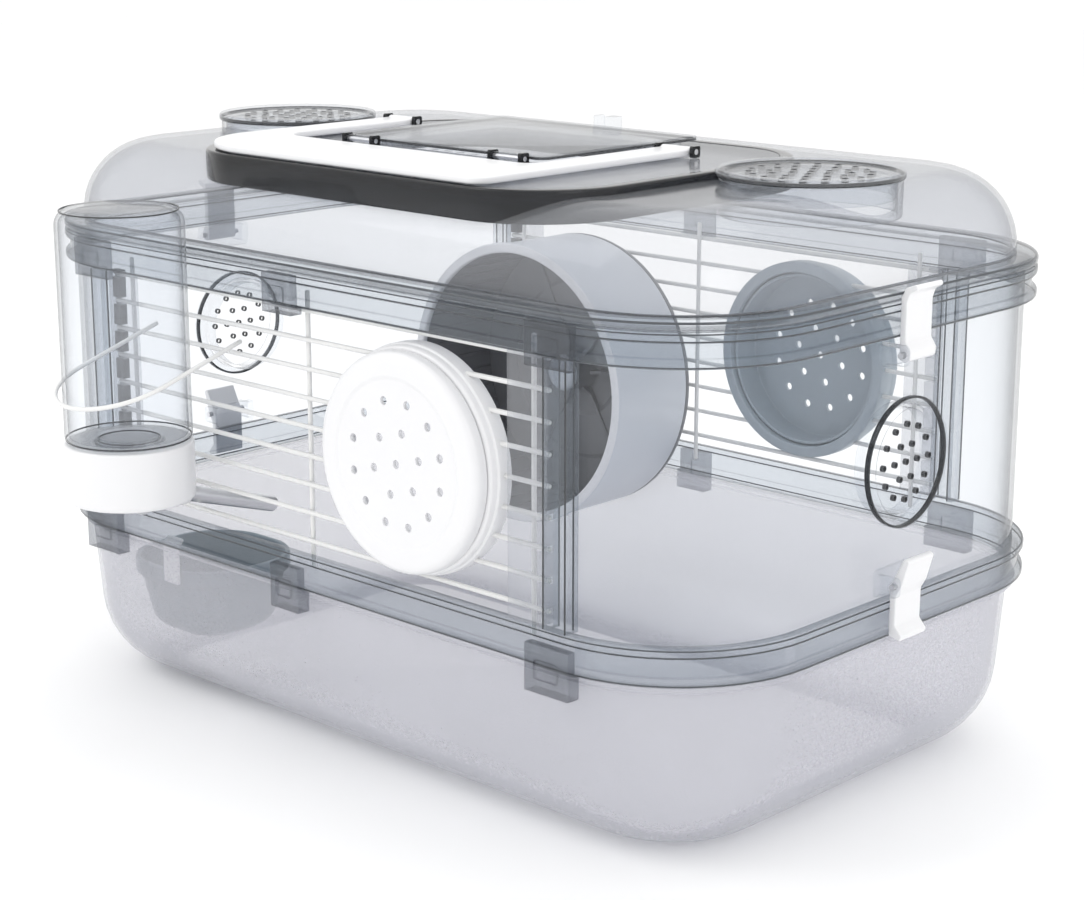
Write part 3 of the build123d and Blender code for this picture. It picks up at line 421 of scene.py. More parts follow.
WHITE = srgb(0.93, 0.93, 0.935)
OFF_WHITE = srgb(0.905, 0.905, 0.912)
materials = {
    "white_plastic": moulded("white_plastic", WHITE, OFF_WHITE, 0.3),
    "white_wire": moulded("white_wire", srgb(0.95, 0.95, 0.945), srgb(0.88, 0.88, 0.875), 0.36, 1500, 0.12),
    # door_grey is painted shade: the back door, seen from inside the cage in shadow and behind the plastic,
    # given grey
    "door_grey": moulded("door_grey", srgb(0.66, 0.70, 0.735), srgb(0.61, 0.655, 0.69), 0.34),
    "wheel_grey": moulded("wheel_grey", srgb(0.86, 0.875, 0.90), srgb(0.82, 0.84, 0.87), 0.32),
    "wheel_lip": moulded("wheel_lip", srgb(0.94, 0.945, 0.955), srgb(0.91, 0.915, 0.93), 0.28),
    # wheel_dark: partly the wheel's darker inner plastic, partly painted shade for the inside of the drum
    "wheel_dark": moulded("wheel_dark", srgb(0.50, 0.505, 0.52), srgb(0.45, 0.455, 0.47), 0.36),
    "spout_grey": moulded("spout_grey", srgb(0.74, 0.75, 0.77), srgb(0.67, 0.68, 0.70), 0.3),
    "bowl_grey": moulded("bowl_grey", srgb(0.50, 0.55, 0.585), srgb(0.45, 0.50, 0.53), 0.3),
    # Dark plastic for the post combs, also used for thin lines of painted shade where refraction darkens
    # clear edges
    "dark_comb_and_edge_shade": moulded("dark_comb_and_edge_shade", srgb(0.25, 0.26, 0.27), srgb(0.20, 0.205, 0.215), 0.3),
    "seal_rubber": moulded("seal_rubber", srgb(0.85, 0.85, 0.83), srgb(0.79, 0.79, 0.77), 0.55),
    "steel": metal("steel", srgb(0.91, 0.91, 0.92), 0.3, 800),
    "frosted_tray": see_through("frosted_tray", srgb(0.975, 0.975, 0.98), srgb(0.87, 0.87, 0.895), 0.27,
                                srgb(0.76, 0.765, 0.795), 0.30, 2.2, 0.2, 1100, 0.05, 0.3),
    "smoked_clear": see_through("smoked_clear", srgb(0.945, 0.953, 0.962), srgb(0.70, 0.73, 0.76), 0.11,
                                srgb(0.11, 0.12, 0.135), 0.92, 3.4),
    # dark_smoked is the deck's dark smoked plastic and also carries painted edge shade on the cap rim lines
    # and the lid's edge line
    "dark_smoked": see_through("dark_smoked", srgb(0.50, 0.51, 0.53), srgb(0.17, 0.175, 0.185), 0.42,
                               srgb(0.04, 0.043, 0.05), 0.95, 2.0),
    "clip_smoked": see_through("clip_smoked", srgb(0.90, 0.905, 0.915), srgb(0.50, 0.515, 0.535), 0.13,
                               srgb(0.05, 0.053, 0.06), 0.95, 2.6),
    "clear_plastic": see_through("clear_plastic", srgb(0.985, 0.988, 0.992), srgb(0.86, 0.875, 0.895), 0.02,
                                 srgb(0.20, 0.215, 0.235), 0.85, 5.0),
    "clear_sheet": see_through("clear_sheet", srgb(0.975, 0.978, 0.982), srgb(0.84, 0.85, 0.865), 0.12,
                               srgb(0.55, 0.565, 0.585), 0.4, 7.0),
    "roof_clear": see_through("roof_clear", srgb(0.968, 0.97, 0.975), srgb(0.83, 0.838, 0.855), 0.13,
                              srgb(0.56, 0.57, 0.59), 0.5, 4.5, 0.1),
}


# Tray and rails

def tray_shell():
    z = tray_high.z
    profile = filleted([(60 * MM, 0, 0), (12 * MM, 0, 38 * MM), (6.3 * MM, z - 3 * MM, 0.6 * MM),
                        (3 * MM, z - 3 * MM, 0.7 * MM), (3 * MM, z, 0.9 * MM), (8 * MM, z, 0.8 * MM),
                        (14 * MM, 2 * MM, 36 * MM), (60 * MM, 2 * MM, 0)], 9)
    piece = swept("tray_shell", profile, closed=False, caps=True)
    place_piece(piece, "tray", "frosted_tray", "frosted_tray", "tray_floor", "tray_wall")


def edge_lines(name, body, heights, inset, size):
    """Dark lines that run round inside a rail's beads: painted shade for the dark lines that refraction shows
    at the moulding's edges.
    """
    bm = bmesh.new()
    for height in heights:
        profile = filleted([(inset, height - size / 2, size * 0.3), (inset, height + size / 2, size * 0.3),
                            (inset + size, height + size / 2, size * 0.3),
                            (inset + size, height - size / 2, size * 0.3)], 3)
        skin(bm, [[(x, y, z) for x, y in cage_plan(edge)] for edge, z in profile], close_rings=True)
    place_piece(finish_mesh(name, bm), body, "dark_comb_and_edge_shade", "dark_smoked")


def rail(name, node, low, high):
    """A clear rail with a bead along each edge and a groove under the top bead."""
    profile = filleted([(5 * MM, low, 0.4 * MM), (0, low, 1.3 * MM), (0, low + 3.6 * MM, 1.3 * MM),
                        (2.2 * MM, low + 4.2 * MM, 0.7 * MM), (2.2 * MM, high - 4.4 * MM, 0.7 * MM),
                        (0, high - 3.6 * MM, 1.3 * MM), (0, high, 1.3 * MM), (5 * MM, high, 0.4 * MM)], 4)
    piece = swept(name, profile)
    place_piece(piece, "cage", "smoked_clear", "smoked_clear", node)
    # Painted shade: dark lines at the beads' edges, standing for the dark edges that refraction shows in the
    # clear rail.
    heights = (high - 0.9 * MM, high - 3.5 * MM, low + 0.7 * MM)
    edge_lines(name + "_lines", "cage", heights, 0.35 * MM, 0.55 * MM)


def roof_rim_bead():
    """The roof's smoked rim, with dark lines at its edge and at the dome's foot: painted shade for the dark
    edges that refraction shows there.
    """
    low, high = rim_low.z, rim_high.z
    profile = filleted([(11 * MM, low, 0.5 * MM), (0, low, 1.5 * MM), (0, high, 1.9 * MM),
                        (11 * MM, high, 0.5 * MM)], 5)
    bead = swept("roof_rim_bead", profile)
    place_piece(bead, "roof", "smoked_clear", "smoked_clear", "roof_rim")
    edge_lines("roof_rim_line", "roof", (high - 1.3 * MM,), 0.5 * MM, 0.9 * MM)
    edge_lines("roof_rim_step_line", "roof", (high - 0.5 * MM,), 9.2 * MM, 0.7 * MM)


# Clear end walls with their vent caps

POST_X = 143 * MM
VENT_HEIGHT = 145 * MM
VENT_HOLE = 23 * MM
END_CAP_RADIUS = 26 * MM
END_CAP_DEPTH = 3.4 * MM
END_AIR_HOLE = 1.25 * MM
CAP_STEPS = 96


def end_wall(side, node):
    """The U-shaped clear wall round one end, from post to post, with its vent hole cut through."""
    low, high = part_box(node)
    profile = filleted([(5 * MM, low.z, 0), (5 * MM, high.z, 0), (7 * MM, high.z, 0.4 * MM),
                        (7 * MM, low.z, 0.4 * MM)], 3)
    bm = bmesh.new()
    rings = []
    for inset, height in profile:
        arc = sorted(((x, y) for x, y in cage_plan(inset) if x > POST_X), key=lambda point: point[1])
        start = (POST_X, arc[0][1])
        end = (POST_X, arc[-1][1])
        rings.append([(side * x, y, height) for x, y in [start, *arc, end]])
    rows = skin(bm, rings, close_rings=True, close_along=False)
    bm.faces.new([row[0] for row in rows])
    bm.faces.new([row[-1] for row in rows])
    wall = finish_mesh("end_wall_skin_" + node.split("_")[-1], bm)
    place = along((side * (HALF_X - 15 * MM), 0, VENT_HEIGHT), (side, 0, 0))
    cut(wall, [pegs("vent_hole", [(0, 0)], VENT_HOLE, 0, 30 * MM, place, 64)])
    place_piece(wall, "cage", "clear_plastic", "clear_plastic", node)


def perforated_cap(name, place, radius, hole_radius, depth, skirt, holes, hole_size, dish, crown):
    """A round cap: rounded rim, sunk perforated face, and a skirt that plugs into its hole."""
    face = depth - dish
    profile = filleted([(1.5 * MM, face - 1.6 * MM, 0), (hole_radius - 2 * MM, face - 1.6 * MM, 0.6 * MM),
                        (hole_radius - 2 * MM, -skirt, 0.5 * MM), (hole_radius - 0.4 * MM, -skirt, 0.6 * MM),
                        (hole_radius - 0.4 * MM, 0, 0.3 * MM), (radius, 0, 0.8 * MM),
                        (radius, depth, crown), (radius - 2.2 * crown - 1.5 * MM, depth, 1.0 * MM),
                        (radius - 2.2 * crown - 3 * MM, face, 1.2 * MM), (1.5 * MM, face, 0)], 6)
    bm = bmesh.new()
    rings = [[place @ Vector((x, y, w)) for x, y in circle(r, CAP_STEPS)] for r, w in profile]
    skin(bm, rings, caps=True)
    cap = finish_mesh(name, bm)
    cut(cap, [pegs("air_holes", holes, hole_size, -5 * MM, 20 * MM, place)])
    return cap


def painted_hole_shade(name, place, holes, radius, low, high):
    """Thin dark rings that line the air holes of a clear cap: painted shade for the dark that refraction
    shows in the holes' walls.
    """
    bm = bmesh.new()
    for u, v in holes:
        profile = [(radius + 0.02 * MM, low), (radius + 0.02 * MM, high), (radius - 0.3 * MM, high),
                   (radius - 0.3 * MM, low)]
        rings = [[place @ Vector((u + x, v + y, w)) for x, y in circle(r, 16)] for r, w in profile]
        skin(bm, rings, close_rings=True)
    return finish_mesh(name, bm)


def end_cap(side, node):
    """A clear vent cap with dark-lined air holes and a dark rim line; the dark lines are painted shade for
    the dark edges that refraction shows.
    """
    low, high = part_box(node)
    face_x = high.x - END_CAP_DEPTH if side > 0 else low.x + END_CAP_DEPTH
    place = along((face_x, 0, VENT_HEIGHT), (side, 0, 0))
    holes = hole_rings([(1e-6, 1), (7.5 * MM, 6), (15 * MM, 12)])
    cap = perforated_cap(node + "_disc", place, END_CAP_RADIUS, VENT_HOLE, END_CAP_DEPTH, 7 * MM, holes,
                         END_AIR_HOLE, 1.4 * MM, 0.9 * MM)
    place_piece(cap, node, "clear_plastic", "clear_plastic", node, node.replace("cap", "skirt"))
    hole_shade = painted_hole_shade(node + "_holes", place, holes, END_AIR_HOLE, 0.5 * MM, 1.9 * MM)
    place_piece(hole_shade, node, "dark_comb_and_edge_shade", "dark_smoked")
    line = squared(25 * MM, 25.95 * MM, 0.2 * MM, 2.4 * MM, 0.3 * MM, 0.3 * MM, 2)
    rim = turned(node + "_rim_line", line, place)
    place_piece(rim, node, "dark_smoked", "dark_smoked")


# Posts and wire sides

WIRE = 1 * MM
WIRE_Y = 125 * MM
CROSS_WIRE_Y = 123.2 * MM
WIRE_HEIGHTS = [(98 + 12.1 * step) * MM for step in range(9)]
CROSS_WIRES = [-121 * MM, -5 * MM, 121 * MM]
WIRE_END = 130.6 * MM
DOOR_Z = 145 * MM
DOOR_RING = 46 * MM
DOOR_CAP_DEPTH = 6.6 * MM
doors = {side: (sum(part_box(side + "_door_ring"), Vector()) / 2).x for side in ("front", "back")}


def wire_side(side, sign):
    """Level wires that stop at the round door, and the cross wires that join them."""
    paths = []
    door_x = doors[side]
    for height in WIRE_HEIGHTS:
        spans = [(-WIRE_END, WIRE_END)]
        off = abs(height - DOOR_Z)
        if off < DOOR_RING:
            half = (DOOR_RING**2 - off**2) ** 0.5 - 0.4 * MM
            spans = [(-WIRE_END, door_x - half), (door_x + half, WIRE_END)]
        for start, end in spans:
            paths.append([(start, sign * WIRE_Y, height), (end, sign * WIRE_Y, height)])
    box_low, box_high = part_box(side + "_grille")
    for x in CROSS_WIRES:
        paths.append([(x, sign * CROSS_WIRE_Y, box_low.z), (x, sign * CROSS_WIRE_Y, box_high.z)])
    piece = wires(side + "_wires", paths, WIRE, 12)
    place_piece(piece, "cage", "white_wire", "white_wire", side + "_grille")


def corner_post(side, end, sign_x, sign_y):
    """A channel-shaped post with a thin wing, and a dark comb that the wires' ends sit in."""
    node = f"{side}_post_{end}"
    low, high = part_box(node)
    place = Matrix.Translation((0, 0, low.z)) @ Matrix.Diagonal((sign_x, sign_y, 1, 1))
    outline = filleted([(131 * MM, 122.3 * MM, 0.8 * MM), (133.6 * MM, 122.3 * MM, 0.5 * MM),
                        (133.6 * MM, 126.8 * MM, 0.8 * MM), (140.4 * MM, 126.8 * MM, 0.8 * MM),
                        (140.4 * MM, 122.3 * MM, 0.5 * MM), (143 * MM, 122.3 * MM, 0.8 * MM),
                        (143 * MM, 130 * MM, 1.6 * MM), (131 * MM, 130 * MM, 1.6 * MM)], 4)
    height = high.z - low.z
    post = plate(node + "_channel", outline, height, place)
    place_piece(post, "cage", "smoked_clear", "smoked_clear", node)
    wing_outline = filleted([(112 * MM, 127.1 * MM, 0.4 * MM), (131.2 * MM, 127.1 * MM, 0),
                             (131.2 * MM, 128.5 * MM, 0), (112 * MM, 128.5 * MM, 0.4 * MM)], 3)
    wing = plate(node + "_wing", wing_outline, height, place)
    place_piece(wing, "cage", "roof_clear", "roof_clear")
    bm = bmesh.new()
    gaps = [w - s for w in WIRE_HEIGHTS for s in (1.6 * MM, -1.6 * MM)]
    teeth = [low.z + 1 * MM, *gaps, high.z - 1 * MM]
    tooth = squared(125.6 * MM, 130.9 * MM, 123.4 * MM, 126.9 * MM, 0.3 * MM, 0.3 * MM, 2)
    for bottom, top in zip(teeth[::2], teeth[1::2]):
        rings = [[(sign_x * x, sign_y * y, z) for x, y in tooth] for z in (bottom, top)]
        skin(bm, rings, caps=True)
    comb = finish_mesh(node + "_comb", bm)
    comb_look = ("dark_comb_and_edge_shade", "dark_smoked") if end == "left" else ("roof_clear", "roof_clear")
    place_piece(comb, "cage", *comb_look)
    # Thin dark rods along the channel's edges: painted shade for the dark edges that refraction shows in the
    # clear post.
    bm = bmesh.new()
    for x, y in ((131.5, 129.5), (142.5, 129.5), (133.4, 122.9), (140.6, 122.9)):
        rings = [[(sign_x * (x * MM + u), sign_y * (y * MM + v), z) for u, v in circle(0.35 * MM, 8)]
                 for z in (low.z + 0.1 * MM, high.z - 0.1 * MM)]
        skin(bm, rings, caps=True)
    place_piece(finish_mesh(node + "_lines", bm), "cage", "dark_comb_and_edge_shade", "dark_smoked")


# Round doors

def door(side, sign, look):
    """A door ring that the wires end in and the perforated cap that plugs into it."""
    low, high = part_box(side + "_door_ring")
    centre = ((low.x + high.x) / 2, sign * 121 * MM, DOOR_Z)
    place = along(centre, (0, sign, 0))
    depth = high.y - low.y
    profile = filleted([(40.8 * MM, 0, 0.8 * MM), (46 * MM, 0, 1.2 * MM), (46 * MM, depth - 4 * MM, 0.8 * MM),
                        (45.2 * MM, depth - 3.4 * MM, 0.6 * MM), (45.2 * MM, depth, 1.5 * MM),
                        (40.8 * MM, depth, 0.8 * MM)], 4)
    ring = turned(side + "_door_collar", profile, place, 96)
    place_piece(ring, "cage", look, look, side + "_door_ring")
    cap_low, cap_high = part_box(side + "_door_cap")
    outer = cap_low.y if sign < 0 else cap_high.y
    cap_place = along((centre[0], outer - sign * DOOR_CAP_DEPTH, DOOR_Z), (0, sign, 0))
    holes = hole_rings([(1e-6, 1), (13 * MM, 6), (25 * MM, 12)], radians(15))
    cap = perforated_cap(side + "_door_disc", cap_place, 44 * MM, 40.7 * MM, DOOR_CAP_DEPTH, 9 * MM, holes,
                         1.8 * MM, 0.7 * MM, 3.6 * MM)
    place_piece(cap, side + "_door", look, look, side + "_door_cap", side + "_door_skirt")


# Roof: dome, ports, hatch deck, handle and feeder lid

PORT_X = 152 * MM
PORT_HOLE = 34 * MM
PORT_CAP_RADIUS = 37 * MM
PORT_AIR_HOLE = 1.5 * MM
deck_low, deck_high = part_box("hatch_deck")
DECK_CORNER = 42 * MM
lid_low, lid_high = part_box("feeder_lid")
collar_low, collar_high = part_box("feeder_collar")
LID_FRONT = -52 * MM
LID_BACK = 47 * MM


def flat_outline(low_x, high_x, low_y, high_y, radius):
    return squared(low_x, high_x, low_y, high_y, radius, radius, 8)


def feeder_cutter(bottom, top):
    """The shape that opens the feeder's hole between two heights."""
    outline = flat_outline(collar_low.x + 5 * MM, collar_high.x - 5 * MM, collar_low.y + 4 * MM,
                           collar_high.y - 4 * MM, 5 * MM)
    return plate("feeder_hole", outline, top - bottom, Matrix.Translation((0, 0, bottom)))


def roof_dome():
    """The domed roof with its two port holes, the feeder's hole and a collar in each port."""
    base, top = roof_low.z, roof_high.z - 2.6 * MM
    profile = filleted([(60 * MM, top - 2 * MM, 0), (11 * MM, top - 2 * MM, 30 * MM),
                        (11 * MM, base, 0.4 * MM), (9 * MM, base, 0.4 * MM), (9 * MM, top, 32 * MM),
                        (60 * MM, top, 0)], 12)
    dome = swept("roof_dome", profile, closed=False, caps=True)
    ports = pegs("port_holes", [(-PORT_X, 0), (PORT_X, 0)], PORT_HOLE, base, top + 5 * MM, Matrix(), 72)
    cut(dome, [ports, feeder_cutter(base + 10 * MM, top + 5 * MM)])
    place_piece(dome, "roof", "roof_clear", "roof_clear", "roof_top", "roof_sides")
    wall = squared(PORT_HOLE, PORT_HOLE + 2 * MM, top - 12 * MM, roof_high.z, 0.5 * MM, 0.8 * MM, 3)
    for end, sign in (("right", 1), ("left", -1)):
        stand = Matrix.Translation((sign * PORT_X, 0, 0))
        collar = turned("port_collar_" + end, wall, stand, CAP_STEPS)
        nodes = ("port_collars",) if sign > 0 else ()
        place_piece(collar, "roof", "clear_plastic", "clear_plastic", *nodes)


def port_cap(sign, node):
    """A clear port cap with dark-lined air holes and a dark rim line; the dark lines are painted shade for
    the dark edges that refraction shows.
    """
    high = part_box(node)[1]
    place = Matrix.Translation((sign * PORT_X, 0, high.z - 3 * MM))
    holes = hole_rings([(1e-6, 1), (8 * MM, 6), (16 * MM, 12), (24 * MM, 18)])
    cap = perforated_cap(node + "_disc", place, PORT_CAP_RADIUS, PORT_HOLE, 3 * MM, 8 * MM, holes,
                         PORT_AIR_HOLE, 1.2 * MM, 0.9 * MM)
    skirt = "port_skirt_" + node.split("_")[-1]
    place_piece(cap, node, "clear_sheet", "clear_plastic", node, skirt)
    hole_shade = painted_hole_shade(node + "_holes", place, holes, PORT_AIR_HOLE, 0.3 * MM, 1.7 * MM)
    place_piece(hole_shade, node, "dark_comb_and_edge_shade", "dark_smoked")
    line = squared(35.8 * MM, 36.95 * MM, 0.1 * MM, 1.8 * MM, 0.3 * MM, 0.3 * MM, 2)
    rim = turned(node + "_rim_line", line, place, CAP_STEPS)
    place_piece(rim, node, "dark_smoked", "dark_smoked")


def deck_plan(inset):
    """The hatch deck's outline, drawn in by an inset."""
    centre = ((deck_low.x + deck_high.x) / 2, (deck_low.y + deck_high.y) / 2)
    half_x, half_y = (deck_high.x - deck_low.x) / 2, (deck_high.y - deck_low.y) / 2
    return rounded_plan(half_x, half_y, DECK_CORNER, inset, centre)


def hatch_deck():
    """The dark glossy side of the deck and the clear panel inside it."""
    top = deck_high.z
    profile = filleted([(0, deck_low.z + 2 * MM, 1 * MM), (0, top, 1.2 * MM), (6 * MM, top, 0.3 * MM),
                        (6 * MM, top - 2.4 * MM, 0.5 * MM), (3 * MM, top - 3.4 * MM, 1 * MM),
                        (3 * MM, deck_low.z + 2 * MM, 0.6 * MM)], 4)
    side = swept("deck_side", profile, deck_plan)
    place_piece(side, "roof", "dark_smoked", "dark_smoked", "hatch_deck")
    bm = bmesh.new()
    rings = [[(x, y, z) for x, y in deck_plan(6.2 * MM)] for z in (top - 2.3 * MM, top - 0.2 * MM)]
    skin(bm, rings, caps=True)
    panel = finish_mesh("deck_panel", bm)
    ports = pegs("port_gaps", [(-PORT_X, 0), (PORT_X, 0)], 38 * MM, top - 5 * MM, top + 5 * MM, Matrix(), 72)
    cut(panel, [ports, feeder_cutter(top - 6 * MM, top + 6 * MM)])
    place_piece(panel, "roof", "roof_clear", "roof_clear")


def carrying_handle():
    """The white bail, round at one corner, with a barrel round each pivot pin."""
    low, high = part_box("handle")
    arm, bar = 16 * MM, 44 * MM
    back = 12 * MM
    outline = filleted([(low.x, back, 0), (low.x, low.y, 38 * MM), (high.x, low.y, 8 * MM), (high.x, back, 0),
                        (high.x - arm, back, 0), (high.x - arm, low.y + bar, 6 * MM),
                        (low.x + arm, low.y + bar, 14 * MM), (low.x + arm, back, 0)], 12)
    body = plate("handle_bail", outline, 3 * MM, Matrix.Translation((0, 0, low.z)), 0.9 * MM)
    place_piece(body, "handle", "white_plastic", "white_plastic", "handle")
    profile = filleted([(1.3 * MM, 0, 0), (1.9 * MM, 0, 0.3 * MM), (1.9 * MM, arm - 0.4 * MM, 0.3 * MM),
                        (1.3 * MM, arm - 0.4 * MM, 0)], 2)
    for index, x in enumerate((low.x + arm / 2, high.x - arm / 2)):
        place = along((x - arm / 2 + 0.2 * MM, back, low.z + 1.9 * MM), (1, 0, 0))
        barrel = turned(f"handle_barrel_{index}", profile, place, 24)
        place_piece(barrel, "handle", "white_plastic", "white_plastic")


def feeder_lid():
    """The clear lid with a dark line round its edge, painted shade for the dark edge that refraction shows,
    and two hinge knuckles.
    """
    outline = flat_outline(lid_low.x, lid_high.x, LID_FRONT, LID_BACK, 5 * MM)
    sheet = plate("lid_sheet", outline, 2 * MM, Matrix.Translation((0, 0, 253.2 * MM)), 0.5 * MM)
    place_piece(sheet, "feeder_lid", "clear_sheet", "clear_plastic", "feeder_lid")
    bm = bmesh.new()
    inner, outer = [flat_outline(lid_low.x + inset, lid_high.x - inset, LID_FRONT + inset,
                                 LID_BACK - inset, radius)
                    for inset, radius in ((1.2 * MM, 4 * MM), (0.1 * MM, 5 * MM))]
    rings = [[(x, y, z) for x, y in ring] for ring, z in
             ((inner, 253.4 * MM), (outer, 253.4 * MM), (outer, 254.4 * MM), (inner, 254.4 * MM))]
    skin(bm, rings, close_rings=True)
    place_piece(finish_mesh("lid_edge_line", bm), "feeder_lid", "dark_smoked", "dark_smoked")
    for index, x in enumerate((-46 * MM, 42 * MM)):
        knuckle = plate(f"lid_knuckle_{index}",
                        filleted([(-57.5 * MM, 251.9 * MM, 1.9 * MM), (-53.6 * MM, 251.9 * MM, 1.9 * MM),
                                  (-53.4 * MM, 253.3 * MM, 0.2 * MM), (-51 * MM, 253.3 * MM, 0.2 * MM),
                                  (-51 * MM, 255.1 * MM, 0.2 * MM), (-53.8 * MM, 255.1 * MM, 0.6 * MM),
                                  (-54.2 * MM, 255.7 * MM, 0.8 * MM), (-57.5 * MM, 255.7 * MM, 1.9 * MM)], 4),
                        14 * MM, along((x - 7 * MM, 0, 0), (1, 0, 0)))
        place_piece(knuckle, "feeder_lid", "clear_plastic", "clear_plastic")


# Exercise wheel

WHEEL_STEPS = 144
TREADS = 48
RIBS = 6


def wheel():
    """The drum with its pale lip, dark lining and treads, and the ribbed disc with its hub; their dark grey
    is partly the inner plastic's own colour and partly painted shade inside the drum.
    """
    low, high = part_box("wheel_rim")
    centre_x, centre_z = (low.x + high.x) / 2, (low.z + high.z) / 2
    back = high.y
    depth = high.y - low.y
    place = along((centre_x, back, centre_z), (0, -1, 0))
    outline = filleted([(65.8 * MM, 0, 0.3 * MM), (68 * MM, 0, 0.8 * MM),
                        (68 * MM, depth - 3.4 * MM, 0.6 * MM), (69 * MM, depth - 3 * MM, 0.4 * MM),
                        (69 * MM, depth, 1.2 * MM),
                        (64.3 * MM, depth, 1.2 * MM), (64.3 * MM, depth - 3 * MM, 0.4 * MM),
                        (65.8 * MM, depth - 3.6 * MM, 0.6 * MM)], 3)
    rim = turned("wheel_drum", outline, place, WHEEL_STEPS)
    place_piece(rim, "wheel", "wheel_grey", "wheel_grey", "wheel_rim")
    lip_outline = squared(64.2 * MM, 68.9 * MM, depth - 2.4 * MM, depth + 0.05 * MM, 0.4 * MM, 1 * MM, 4)
    lip = turned("wheel_lip", lip_outline, place, WHEEL_STEPS)
    place_piece(lip, "wheel", "wheel_lip", "wheel_grey")
    # The lining's dark grey is partly the drum's darker inner plastic and partly painted shade inside the
    # drum.
    lining_and_shade = turned("wheel_lining_and_shade", [(65.78 * MM, 0.2 * MM), (65.78 * MM, depth - 4.4 * MM),
                                     (65.5 * MM, depth - 4.4 * MM), (65.5 * MM, 0.2 * MM)], place,
                    WHEEL_STEPS)
    place_piece(lining_and_shade, "wheel", "wheel_dark", "wheel_dark")
    bm = bmesh.new()
    tread = filleted([(64.9 * MM, -0.9 * MM, 0.5 * MM), (66.2 * MM, -0.9 * MM, 0), (66.2 * MM, 0.9 * MM, 0),
                      (64.9 * MM, 0.9 * MM, 0.5 * MM)], 3)
    for step in range(TREADS):
        turn = place @ Matrix.Rotation(2 * pi * step / TREADS, 4, "Z")
        rings = [[turn @ Vector((u, v, w)) for u, v in tread] for w in (0.6 * MM, depth - 3.6 * MM)]
        skin(bm, rings, caps=True)
    place_piece(finish_mesh("wheel_treads", bm), "wheel", "wheel_dark", "wheel_dark")
    back_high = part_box("wheel_back")[1]
    disc_place = along((centre_x, back_high.y, centre_z), (0, -1, 0))
    profile = filleted([(3.1 * MM, 0, 0.2 * MM), (68 * MM, 0, 0.8 * MM), (68 * MM, 2.4 * MM, 0.4 * MM),
                        (46 * MM, 2.4 * MM, 1 * MM), (44 * MM, 3.6 * MM, 1 * MM), (24 * MM, 3.6 * MM, 1 * MM),
                        (22 * MM, 2.4 * MM, 1 * MM), (10.5 * MM, 2.4 * MM, 2.5 * MM),
                        (8.6 * MM, 15.8 * MM, 0.8 * MM), (3.1 * MM, 15.8 * MM, 0.2 * MM)], 4)
    disc = turned("wheel_disc", profile, disc_place, CAP_STEPS)
    place_piece(disc, "wheel", "wheel_dark", "wheel_dark", "wheel_back", "wheel_hub")
    bm = bmesh.new()
    rib = filleted([(9 * MM, 2 * MM, 0), (62 * MM, 2 * MM, 0), (61.5 * MM, 3.6 * MM, 0.8 * MM),
                    (14 * MM, 4.9 * MM, 2 * MM), (9 * MM, 9 * MM, 1 * MM)], 3)
    for step in range(RIBS):
        turn = disc_place @ Matrix.Rotation(2 * pi * step / RIBS, 4, "Z")
        rings = [[turn @ Vector((u, v, w)) for u, w in rib] for v in (-0.9 * MM, 0.9 * MM)]
        skin(bm, rings, caps=True)
    place_piece(finish_mesh("wheel_ribs", bm), "wheel", "wheel_dark", "wheel_dark")
    hub_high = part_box("wheel_hub_cap")[1]
    cap_place = along((centre_x, hub_high.y, centre_z), (0, -1, 0))
    profile = filleted([(0.4 * MM, 0, 0), (9 * MM, 0, 0.4 * MM), (9 * MM, 3.5 * MM, 2.6 * MM),
                        (5 * MM, 3.5 * MM, 0.8 * MM), (4.4 * MM, 2.9 * MM, 0.4 * MM),
                        (0.4 * MM, 2.9 * MM, 0)], 5)
    cap = turned("hub_button", profile, cap_place, 64)
    place_piece(cap, "wheel", "wheel_grey", "wheel_grey", "wheel_hub_cap")


# Bottle, cap, spout and wire hanger

bottle_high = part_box("bottle_body")[1]
cap_low, cap_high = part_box("bottle_cap")
BOTTLE_X = (cap_low.x + cap_high.x) / 2
BOTTLE_Y = (cap_low.y + cap_high.y) / 2
SPOUT_SLOPE = 0.305
SPOUT_AT_WIRES = 104.05 * MM
SPOUT_AXIS = Vector((0, 1, -SPOUT_SLOPE)).normalized()
SPOUT_STEPS = 48


def spout_place(y):
    """Where the spout's sloping axis is at a depth y, facing inwards."""
    return along((BOTTLE_X, y, SPOUT_AT_WIRES - (y + WIRE_Y) * SPOUT_SLOPE), SPOUT_AXIS)


